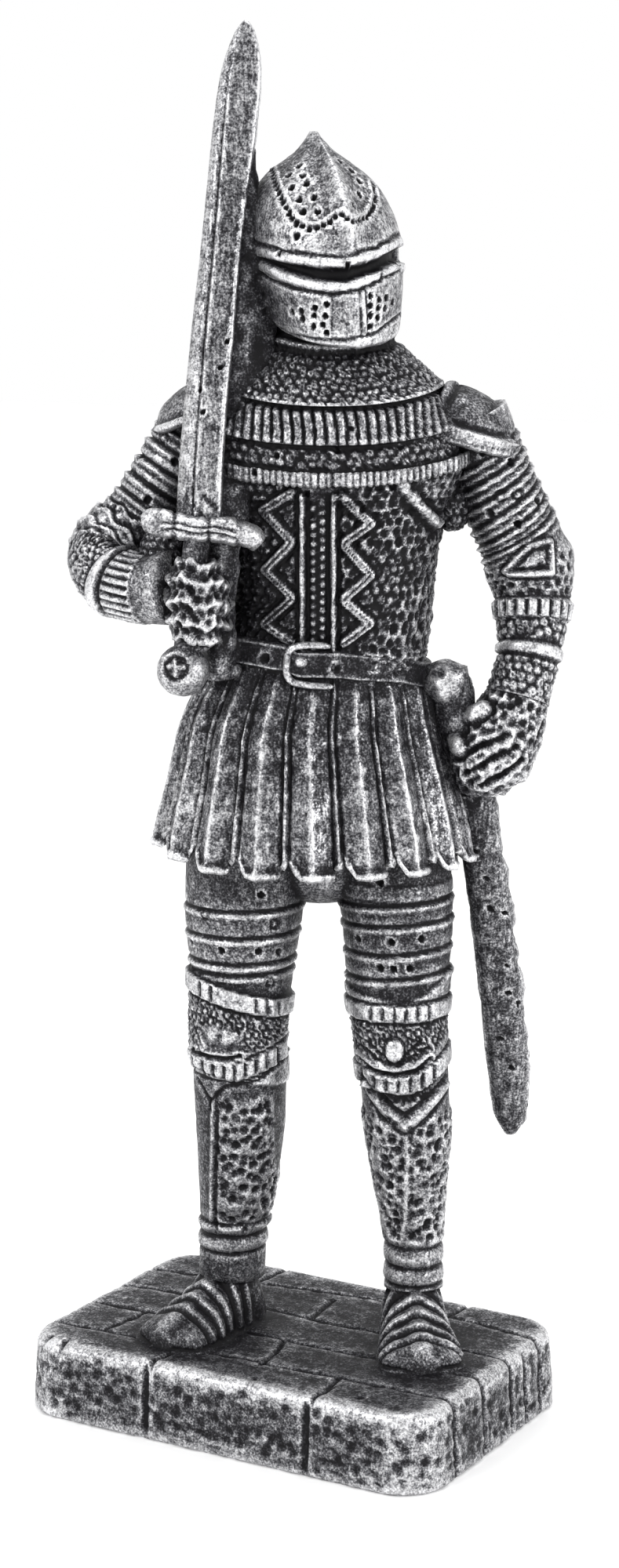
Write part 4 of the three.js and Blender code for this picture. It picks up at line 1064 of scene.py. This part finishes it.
LOBES = [
    [(-2.8, 179.6), (-2.5, 178.4), (-1.9, 176.8), (-1.4, 175.8), (-0.5, 174.2), (0.2, 172.9), (1.8, 172.0),
     (3.4, 172.0), (4.8, 172.7), (5.8, 173.6)],
    [(6.6, 173.9), (7.6, 173.1), (8.7, 172.9), (10.1, 173.4), (10.8, 174.4), (11.3, 176.1), (10.8, 177.9)],
]
BROW_HOLES = [(0.9, 180.3), (-0.5, 179.0), (1.4, 179.0), (1.9, 177.9), (-0.1, 177.4), (0.9, 175.8), (2.9, 176.1)]
BROW_HOLES += [(1.5, 174.2), (3.4, 174.2), (6.4, 181.0), (8.0, 179.7), (7.6, 177.0), (9.1, 178.2), (9.0, 176.5)]
BROW_HOLES += [(8.2, 175.1), (0.6, 171.0)]
BREATHS = [(0.0, 160.8), (1.2, 161.0), (1.4, 160.0), (3.0, 161.5), (2.9, 160.4), (2.8, 159.0), (4.6, 162.0)]
BREATHS += [(4.4, 160.4), (4.1, 159.2), (4.6, 158.1), (10.5, 163.1), (10.5, 161.8), (10.5, 160.5), (10.5, 159.0)]
BREATHS += [(11.7, 162.6), (11.6, 161.4), (11.5, 160.2), (12.6, 162.8), (12.5, 161.4), (13.5, 162.2)]
PIN_HOLES = [(-1.7, 168.5), (7.4, 167.2), (11.9, 165.5), (14.2, 167.2)]
SLOT_TOP = [(-5.4, 168.6), (-4.6, 168.2), (-1.4, 167.5), (2.9, 167.0), (7.1, 166.9), (11.3, 168.0), (14.3, 169.5)]
SLOT_LOW = [(-5.4, 168.2), (-4.6, 167.7), (-1.3, 166.2), (2.9, 165.1), (7.1, 164.9), (11.4, 166.1), (14.4, 167.4)]
VISOR_TOP = [(-6.0, 170.5), (-4.6, 169.9), (-1.3, 169.1), (2.9, 168.5), (7.1, 168.4), (11.3, 169.5), (14.6, 171.3)]
CHIN_TOP = [(-5.9, 167.3), (-5.5, 166.9), (-3.0, 165.1), (0.8, 163.9), (5.0, 163.3), (9.2, 163.9), (14.6, 166.5)]
RIM = [(-3.6, 159.6), (-3.0, 159.1), (-0.3, 157.9), (2.9, 157.3), (7.1, 157.2), (11.4, 158.1), (14.8, 160.5)]


def helmet():
    """An upright skull drawn up to a point, keeled down the brow, over a visor with one long sight."""
    table = np.array(HELMET)
    run = np.concatenate([[0], np.cumsum(np.hypot(np.diff(table[:, 0]), np.diff(table[:, 1])))])
    at = np.linspace(0, run[-1], rows_for(run[-1], 0.12))
    smooth = np.stack([np.interp(at, run, column) for column in table.T], -1)
    reach = 9
    padded = np.concatenate([smooth[:1]] * reach + [smooth] + [smooth[-1:]] * reach)
    smooth = np.stack([np.convolve(column, np.ones(2 * reach + 1) / (2 * reach + 1), "valid") for column in padded.T], -1)
    level, across, deep, x, y, fall = (column[:, None] for column in smooth[::3].T)
    around = angles(rows_for(2 * math.pi * 11.4, 0.36), 0.4)
    front = turn_from(around, FRONT)
    comb = 2.1 * ramp(level, 170.5, 176) * ramp(-level, -186, -181.5)
    keel = comb * bump(front - 0.02, 0.2) + 0.35 * (level < 172) * bump(front, 0.17)
    hollow = 0.6 * bump(level - 178, 4) * bump(np.abs(front) - 0.5, 0.24)
    u = across * np.cos(around)
    v = (deep - hollow) * np.sin(around) - keel
    c, s = math.cos(HEAD_TURN), math.sin(HEAD_TURN)
    skin = Skin(np.stack([x + u * c - v * s, y + u * s + v * c, level + fall * v], -1), around)
    skin.tone += 0.12
    skin.brushed += 0.7
    visor = np.abs(front) < 1.5
    top, low = (skin.path(line, 8) for line in (SLOT_TOP, SLOT_LOW))
    middle = (top + low) / 2
    sight = np.interp(skin.x, middle[:, 0], middle[:, 2])
    half = np.interp(skin.x, middle[:, 0], (top[:, 2] - low[:, 2]) / 2)
    off = (skin.z - sight) * visor
    edges = np.abs(off) - half
    relief = -1.5 * (1 - ramp(edges, -0.45, 0.12)) * (skin.x > -5.6) * visor
    relief += 0.26 * within(edges, 0.2, 1.0, 0.2) * visor
    for line, depth in ((VISOR_TOP, 0.5), (CHIN_TOP, 0.55), (RIM, 0.45)):
        away = to_path(skin.p, skin.path(line, 8))
        relief -= depth * bump(away, 0.24)
        relief += 0.08 * bump(away - 0.5, 0.2)
    for lobe in LOBES:
        path = skin.path(lobe, 8)
        away = to_path(skin.p, path)
        inside = skin.z > np.interp(skin.x, np.sort(path[:, 0]), path[np.argsort(path[:, 0]), 2])
        relief += 0.24 * bump(away - 0.75, 0.22) * inside - 0.1 * bump(away, 0.3)
        length = np.concatenate([[0], np.cumsum(np.linalg.norm(np.diff(path, axis=0), axis=1))])
        stops = np.linspace(0, length[-1], rows_for(length[-1], 0.95))
        beads = np.stack([np.interp(stops, length, path[:, k]) for k in (0, 2)], -1)
        relief += skin.holes(beads, 0.4, 0.6)
    relief += skin.holes(BROW_HOLES, 0.46, 0.8) + skin.holes(BREATHS, 0.42, 0.8) + skin.holes(PIN_HOLES, 0.4, 0.8)
    for x_line in (9.1, 9.9):
        seam = skin.path([(x_line, 163.6), (x_line + 0.2, 160.7), (x_line + 0.3, 157.8)])
        relief -= 0.3 * bump(to_path(skin.p, seam), 0.18)
    seam = to_path(skin.p, skin.path([(9.5, 163.6), (9.7, 160.7), (9.9, 157.8)]))
    faint = to_path(skin.p, skin.path([(5.3, 163.4), (5.3, 157.6)]))
    relief += 0.25 * bump(seam, 0.2) - 0.14 * bump(faint, 0.2)
    relief += 0.05 * noise(skin.p, 1.4, 201) + 0.05 * noise(skin.p, 0.6, 202)
    return skin.rise(relief)


def knight():
    """All the skins of the figure, in its own frame."""
    shapes = [right_leg(), left_leg(), skirt(), torso(), mantle(), belt(), *buckle(), right_arm(), left_arm()]
    shapes += [
        foot((-5.6, 8.2), RIGHT_FOOT_TURN, 21.5, (0.36, 0.47, 0.58, 0.69, 0.8), 0.0, -0.16),
        foot((17, 3.6), LEFT_FOOT_TURN, 21.5, (0.34, 0.45, 0.56, 0.67, 0.78, 0.88), 0.0, -0.1),
        lump(np.array((4, 0.2, 82.6)), (9.5, 6.6, 6.4), COARSE),
        armpit((22.4, 1.4, 134.0), (3.1, 4.4, 4.2)),
        armpit((-17.4, -4.4, 127.2), (4.2, 4.6, 4.4)),
        lump(np.array((23.4, -2.8, 103.0)), (2.4, 2.6, 3.6), PLAIN),
        pauldron((-12.2, 1.0, 147.0), (7.2, 7.4, 4.2), -0.42, None),
        pauldron((22.6, 0.6, 143.4), (8.9, 8.2, 7.0), 0.3, LEFT_RIM),
        fist(),
        resting_hand(),
        blade(),
        web(),
        *hilt(),
        *scabbard(),
        helmet(),
    ]
    return shapes


LEFT_RIM = [(22.6, 151.4), (20.6, 148.6), (19.7, 145.9), (21.8, 144.8), (24.5, 143.9), (27.8, 143.0), (31.0, 142.3)]


# From grids to one mesh


def grid_triangles(rows, columns, wrap):
    """Two triangles for each square of a grid; wrap joins the last column to the first."""
    r, c = np.meshgrid(np.arange(rows - 1), np.arange(columns if wrap else columns - 1), indexing="ij")
    a, b = r * columns + c, r * columns + (c + 1) % columns
    return np.stack([a, b, b + columns, a, b + columns, a + columns], -1).reshape(-1, 3)


def closed(skin):
    """The points and triangles of a skin, with a fan from the middle of each end ring."""
    rows, columns = skin.p.shape[:2]
    points = np.concatenate([skin.p.reshape(-1, 3), skin.p[:1].mean(axis=1), skin.p[-1:].mean(axis=1)])
    ring = np.arange(columns)
    after = np.roll(ring, -1)
    last = (rows - 1) * columns
    first_fan = np.stack([after, ring, np.full(columns, rows * columns)], -1)
    last_fan = np.stack([ring + last, after + last, np.full(columns, rows * columns + 1)], -1)
    triangles = np.concatenate([grid_triangles(rows, columns, True), first_fan, last_fan])
    marks = np.stack([skin.tone, skin.brushed], -1)
    marks = np.concatenate([marks.reshape(-1, 2), marks[:1].mean(axis=1), marks[-1:].mean(axis=1)])
    return points, triangles, marks


def closed_plinth():
    """The plinth's top grid and its sides as one closed body with a flat underside."""
    top, sides = plinth()
    rows, columns = top.shape[:2]
    index = np.arange(rows * columns).reshape(rows, columns)
    rim = np.concatenate([index[0, :-1], index[:-1, -1], index[-1, :0:-1], index[:0:-1, 0]])
    around = len(rim)
    rings = np.concatenate([rim, rows * columns + np.arange(sides.shape[0] * around)])
    walls = rings[grid_triangles(sides.shape[0] + 1, around, True)]
    points = np.concatenate([top.reshape(-1, 3), sides.reshape(-1, 3), [(0, 0, 0)]])
    points[:, 2] = np.maximum(points[:, 2], 0)
    last = rings[-around:]
    floor = np.stack([last, np.roll(last, -1), np.full(around, len(points) - 1)], -1)
    upper = grid_triangles(rows, columns, False)[:, ::-1]
    triangles = np.concatenate([upper, walls, floor])
    marks = np.zeros((len(points), 2))
    marks[: rows * columns, 0] = TOP_STONE_PAINT
    return points, triangles, marks


def outward(points, triangles):
    """The triangles with their corners in the order that makes the enclosed volume positive."""
    a, b, c = (points[triangles[:, k]] for k in range(3))
    return triangles if np.einsum("ij,ij->", a, np.cross(b, c)) > 0 else triangles[:, ::-1]


def new_object(name, points, triangles):
    mesh = bpy.data.meshes.new(name)
    mesh.vertices.add(len(points))
    mesh.vertices.foreach_set("co", points.astype(np.float32).ravel())
    mesh.loops.add(3 * len(triangles))
    mesh.loops.foreach_set("vertex_index", triangles.astype(np.int32).ravel())
    mesh.polygons.add(len(triangles))
    mesh.polygons.foreach_set("loop_start", np.arange(0, 3 * len(triangles), 3, dtype=np.int32))
    mesh.update(calc_edges=True)
    piece = bpy.data.objects.new(name, mesh)
    bpy.context.scene.collection.objects.link(piece)
    return piece


def add_layer(mesh, name, values):
    """Stores one number for each vertex."""
    layer = mesh.attributes.get(name) or mesh.attributes.new(name, "FLOAT", "POINT")
    layer.data.foreach_set("value", values.astype(np.float32))


def evaluated(piece):
    """A new mesh of the object with its modifiers applied, with the numbers on its vertices."""
    graph = bpy.context.evaluated_depsgraph_get()
    return bpy.data.meshes.new_from_object(piece.evaluated_get(graph), preserve_all_data_layers=True, depsgraph=graph)


def cast(bodies):
    """Unites closed bodies into one, marks it for paint, and thins its triangles where it is flattest."""
    pieces = []
    for k, (points, triangles, marks) in enumerate(bodies):
        piece = new_object(f"part_{k}", points, outward(points, triangles))
        add_layer(piece.data, "tone", marks[:, 0])
        add_layer(piece.data, "brushed", marks[:, 1])
        pieces.append(piece)
    others = bpy.data.collections.new("others")
    for piece in pieces[1:]:
        others.objects.link(piece)
    join = pieces[0].modifiers.new("join", "BOOLEAN")
    join.operation, join.solver = "UNION", "MANIFOLD"
    join.operand_type, join.collection = "COLLECTION", others
    casting = bpy.data.objects.new("knight", evaluated(pieces[0]))
    bpy.context.scene.collection.objects.link(casting)
    mark_for_paint(casting.data)
    whole = len(casting.data.loop_triangles)
    thin = casting.modifiers.new("thin", "DECIMATE")
    thin.ratio = min(1, MOST_TRIANGLES / whole)
    thin.use_collapse_triangulate = True
    casting.data = evaluated(casting)
    casting.modifiers.clear()
    for piece in pieces:
        bpy.data.objects.remove(piece)
    bpy.data.collections.remove(others)
    print("triangles before and after thinning:", whole, len(casting.data.polygons))
    return casting


# Where wash gathers, where the brush touches, and where shade is painted in

FINE_ROUNDS, BROAD_ROUNDS = 3, 16  # rounds of smoothing that tell a crest from the surface near it


def blurred(layer):
    """Three box filters, five cells wide, along each axis."""
    for axis in (0, 1, 2) * 3:
        total = np.cumsum(layer, axis=axis)
        wide = np.moveaxis(total, axis, 0)
        wide[5:] = wide[5:] - wide[:-5].copy()
        layer = np.moveaxis(np.roll(wide, -2, 0), 0, axis)
    return layer


def shelter_and_shade(points, normals, areas, reach):
    """How far the average of the surface around each point lies in front of it: more where it is enclosed."""
    cell = reach / 2.45
    low = points.min(axis=0) - 4 * reach
    size = ((points.max(axis=0) + 4 * reach - low) / cell).astype(int) + 2
    at = (points - low) / cell
    index = np.ravel_multi_index(np.round(at).astype(int).T, size)
    fields = [np.bincount(index, weight, size.prod()).reshape(size) for weight in (areas, *(areas[:, None] * points).T)]
    fields = [blurred(field) for field in fields]
    base = np.floor(at).astype(int)
    f = at - base
    sums = np.zeros((4, len(points)))
    for corner in np.ndindex(2, 2, 2):
        weight = np.prod(np.where(np.array(corner), f, 1 - f), axis=1)
        cells = tuple((base + corner).T)
        sums += weight * np.stack([field[cells] for field in fields])
    middle = (sums[1:] / np.maximum(sums[0], 1e-9)).T
    return np.einsum("ij,ij->i", middle - points, normals) / reach


def neighbour_mean(values, edges, degree):
    """The mean of each vertex's neighbours."""
    a, b = edges.T
    total = [np.bincount(a, v[b], len(v)) + np.bincount(b, v[a], len(v)) for v in values.T]
    return np.stack(total, -1) / degree[:, None]


def mark_for_paint(mesh):
    """Stores on each vertex its height above the smoothed surface near it, finely and broadly, and how enclosed it is,
    which darkens hollows as wash and the gaps between parts as painted shade.
    """
    count = len(mesh.vertices)
    points = np.empty(3 * count, np.float32)
    mesh.vertices.foreach_get("co", points)
    points = points.reshape(-1, 3).astype(float)
    edges = np.empty(2 * len(mesh.edges), np.int32)
    mesh.edges.foreach_get("vertices", edges)
    edges = edges.reshape(-1, 2)
    mesh.calc_loop_triangles()
    corners = np.empty(3 * len(mesh.loop_triangles), np.int32)
    mesh.loop_triangles.foreach_get("vertices", corners)
    corners = corners.reshape(-1, 3)
    a, b, c = (points[corners[:, k]] for k in range(3))
    cross = np.cross(b - a, c - a)
    area = np.linalg.norm(cross, axis=1) / 2
    areas = sum(np.bincount(corners[:, k], area / 3, count) for k in range(3))
    normals = np.stack([sum(np.bincount(corners[:, k], axis, count) for k in range(3)) for axis in cross.T], -1)
    normals /= np.maximum(np.linalg.norm(normals, axis=1, keepdims=True), 1e-12)
    degree = np.maximum(np.bincount(edges.ravel(), minlength=count), 1)
    moved = points
    heights = {}
    for step in range(1, BROAD_ROUNDS + 1):
        moved = 0.5 * moved + 0.5 * neighbour_mean(moved, edges, degree)
        if step in (FINE_ROUNDS, BROAD_ROUNDS):
            heights[step] = np.einsum("ij,ij->i", points - moved, normals)
    fine, broad = heights[FINE_ROUNDS], heights[BROAD_ROUNDS]
    add_layer(mesh, "crest", np.tanh((fine - 0.01) / 0.07))
    add_layer(mesh, "height", np.tanh((broad - 0.03) / 0.2))
    # enclosure within 1.5 mm lowers the cover: partly wash in tight hollows, partly painted shade where nearby parts
    # face each other
    add_layer(mesh, "shelter_and_shade", np.tanh((shelter_and_shade(points, normals, areas, 1.5) + 0.1) / 0.25))
    # enclosure within 4 mm, such as between the legs and in the crooks of the arms, lowers the cover as painted shade
    add_layer(mesh, "deep", np.tanh((shelter_and_shade(points, normals, areas, 4.0) + 0.2) / 0.3))
    for name in ("crest", "height", "shelter_and_shade", "deep"):
        values = np.empty(count, np.float32)
        mesh.attributes[name].data.foreach_get("value", values)
        print(name, np.percentile(values, (1, 10, 25, 50, 75, 90, 99)).round(3))


# The finish


def linear(code):
    """The linear colour of an sRGB hex code."""
    parts = [int(code[k : k + 2], 16) / 255 for k in (1, 3, 5)]
    return [*(c / 12.92 if c <= 0.04045 else ((c + 0.055) / 1.055) ** 2.4 for c in parts), 1.0]


def add_node(tree, kind, settings, inputs):
    """Adds a node, sets its properties, and gives each input a value or links it to another node's output."""
    node = tree.nodes.new(kind)
    for key, value in settings.items():
        setattr(node, key, value)
    for key, value in inputs.items():
        if isinstance(value, bpy.types.NodeSocket):
            tree.links.new(value, node.inputs[key])
        else:
            node.inputs[key].default_value = value
    return node


PAINT = [  # sRGB colours from bare wash to brushed silver
    (0.0, "#09080b"),
    (1.0, "#ececee"),
    (0.22, "#1a191d"),
    (0.4, "#454548"),
    (0.56, "#77777a"),
    (0.74, "#b2b2b4"),
]
BARE_PAINT = 0.41  # the cover of a broad flat face
# the two enclosure marks take cover away where other parts close round the surface: wash in hollows and painted shade
# between parts
COVER = dict(height=0.08, crest=0.21, shelter_and_shade=-0.1, deep=-0.1, tone=1.0)  # what each mark adds to the cover
SPECKS = [(0.3, 1.25), (0.8, 0.55), (3.2, 0.4)]  # pitches in millimetres and how much each moves the cover
TOP_STONE_PAINT = -0.05


def antiqued_silver_resin():
    """Moulded polyresin, sprayed with silver lacquer, flooded with black wash and brushed dry with silver.

    The wash stays in every hollow as a matt near-black. The flats are left a sooty grey full of fine specks,
    and the crests catch the bright, half glossy silver. Where other parts close round the surface the cover drops
    further, which paints in shade.
    """
    material = bpy.data.materials.new("antiqued_silver_resin")
    material.use_nodes = True
    tree = material.node_tree
    shader = tree.nodes["Principled BSDF"]
    place = add_node(tree, "ShaderNodeTexCoord", {}, {}).outputs["Object"]
    cover = BARE_PAINT
    for name, share in COVER.items():
        mark = add_node(tree, "ShaderNodeAttribute", {"attribute_name": name}, {}).outputs["Fac"]
        cover = add_node(tree, "ShaderNodeMath", {"operation": "MULTIPLY_ADD"}, {0: mark, 1: share, 2: cover}).outputs[0]
    for pitch, share in SPECKS:
        grain = add_node(
            tree, "ShaderNodeTexNoise", {}, {"Vector": place, "Scale": 1 / (pitch * METRES), "Detail": 2.0, "Roughness": 0.6}
        )
        centred = add_node(tree, "ShaderNodeMath", {"operation": "SUBTRACT"}, {0: grain.outputs[0], 1: 0.5})
        cover = add_node(
            tree, "ShaderNodeMath", {"operation": "MULTIPLY_ADD"}, {0: centred.outputs[0], 1: share, 2: cover}
        ).outputs[0]
    # Brushed streaks, 0.35 mm wide and about 3 mm long
    drawn = add_node(tree, "ShaderNodeMapping", {}, {"Vector": place, "Scale": (1.0, 1.0, 0.12), "Rotation": (0.15, 0.1, 0.0)})
    streaks = add_node(
        tree, "ShaderNodeTexNoise", {}, {"Vector": drawn.outputs[0], "Scale": 1 / (0.4 * METRES), "Detail": 3.0, "Roughness": 0.6}
    )
    centred = add_node(tree, "ShaderNodeMath", {"operation": "SUBTRACT"}, {0: streaks.outputs[0], 1: 0.5})
    brushed = add_node(tree, "ShaderNodeAttribute", {"attribute_name": "brushed"}, {}).outputs["Fac"]
    strokes = add_node(tree, "ShaderNodeMath", {"operation": "MULTIPLY"}, {0: centred.outputs[0], 1: brushed})
    cover = add_node(tree, "ShaderNodeMath", {"operation": "ADD"}, {0: strokes.outputs[0], 1: cover}).outputs[0]
    colour = add_node(tree, "ShaderNodeValToRGB", {}, {"Fac": cover})
    stops = colour.color_ramp.elements
    for k, (at, code) in enumerate(PAINT):
        stop = stops[k] if k < 2 else stops.new(at)
        stop.position, stop.color = at, linear(code)
    metal = add_node(
        tree, "ShaderNodeMapRange", {}, {"Value": cover, "From Min": 0.25, "From Max": 0.7, "To Min": 0.1, "To Max": 0.8}
    )
    gloss = add_node(
        tree, "ShaderNodeMapRange", {}, {"Value": cover, "From Min": 0.2, "From Max": 0.8, "To Min": 0.6, "To Max": 0.34}
    )
    fine = add_node(
        tree, "ShaderNodeTexNoise", {}, {"Vector": place, "Scale": 1 / (0.22 * METRES), "Detail": 2.0, "Roughness": 0.6}
    )
    grain = add_node(
        tree, "ShaderNodeBump", {}, {"Strength": 0.35, "Distance": 0.08 * METRES, "Height": fine.outputs[0]}
    )
    shader.inputs["Specular IOR Level"].default_value = 0.2  # the wash is matt
    tree.links.new(colour.outputs["Color"], shader.inputs["Base Color"])
    tree.links.new(metal.outputs[0], shader.inputs["Metallic"])
    tree.links.new(gloss.outputs[0], shader.inputs["Roughness"])
    tree.links.new(grain.outputs[0], shader.inputs["Normal"])
    return material


# The piece, the floor, the lights and the camera


def turned(skin):
    """A closed skin turned from the knight's own frame to the plinth's."""
    points, triangles, marks = closed(skin)
    c, s = math.cos(FIGURE_TURN), math.sin(FIGURE_TURN)
    return points @ np.array([(c, s, 0), (-s, c, 0), (0, 0, 1)]), triangles, marks


casting = cast([closed_plinth(), *(turned(skin) for skin in knight())])
casting.data.transform(Matrix.Scale(METRES, 4))
casting.data.materials.clear()
casting.data.materials.append(antiqued_silver_resin())
casting.data.shade_smooth()
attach(casting, "root")
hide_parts("knight_on_plinth")

FLOOR_SIDE = 4.0
side = FLOOR_SIDE / 2
corners = np.array([(-side, -side, 0), (side, -side, 0), (side, side, 0), (-side, side, 0)])
floor = new_object("floor", corners, np.array([(0, 1, 2), (0, 2, 3)]))
paper = bpy.data.materials.new("white_paper_floor")
paper.use_nodes = True
paper.node_tree.nodes["Principled BSDF"].inputs["Base Color"].default_value = linear("#ffffff")
paper.node_tree.nodes["Principled BSDF"].inputs["Roughness"].default_value = 0.9
floor.data.materials.append(paper)

world = bpy.data.worlds.new("studio")
world.use_nodes = True
world.node_tree.nodes["Background"].inputs["Color"].default_value = linear("#ffffff")
world.node_tree.nodes["Background"].inputs["Strength"].default_value = 1.0
bpy.context.scene.world = world
bpy.context.scene.view_settings.view_transform = "Standard"

AIM = (0.0, 0.0, 0.1)
SOFTBOXES = [
    # name, place, side length and watts
    ("key", (-0.25, -0.65, 0.55), 0.35, 1.8),
    ("edge", (0.65, -0.1, 0.3), 0.3, 1.4),
    ("top", (0.0, 0.1, 0.8), 0.4, 1.6),
]
for name, place, size, power in SOFTBOXES:
    light = bpy.data.lights.new(name, "AREA")
    light.size, light.energy = size, power
    lamp = bpy.data.objects.new(name, light)
    lamp.location = place
    way = Vector(AIM) - lamp.location
    lamp.rotation_euler = way.to_track_quat("-Z", "Y").to_euler()
    bpy.context.scene.collection.objects.link(lamp)

lens = bpy.data.cameras.new("camera")
lens.sensor_fit, lens.sensor_height, lens.lens = "VERTICAL", 36, 70
camera = bpy.data.objects.new("camera", lens)
camera.location = (0.21674, -0.37079, 0.1740)
camera.rotation_euler = (math.radians(79.4), 0, math.radians(30))
bpy.context.scene.collection.objects.link(camera)
bpy.context.scene.camera = camera
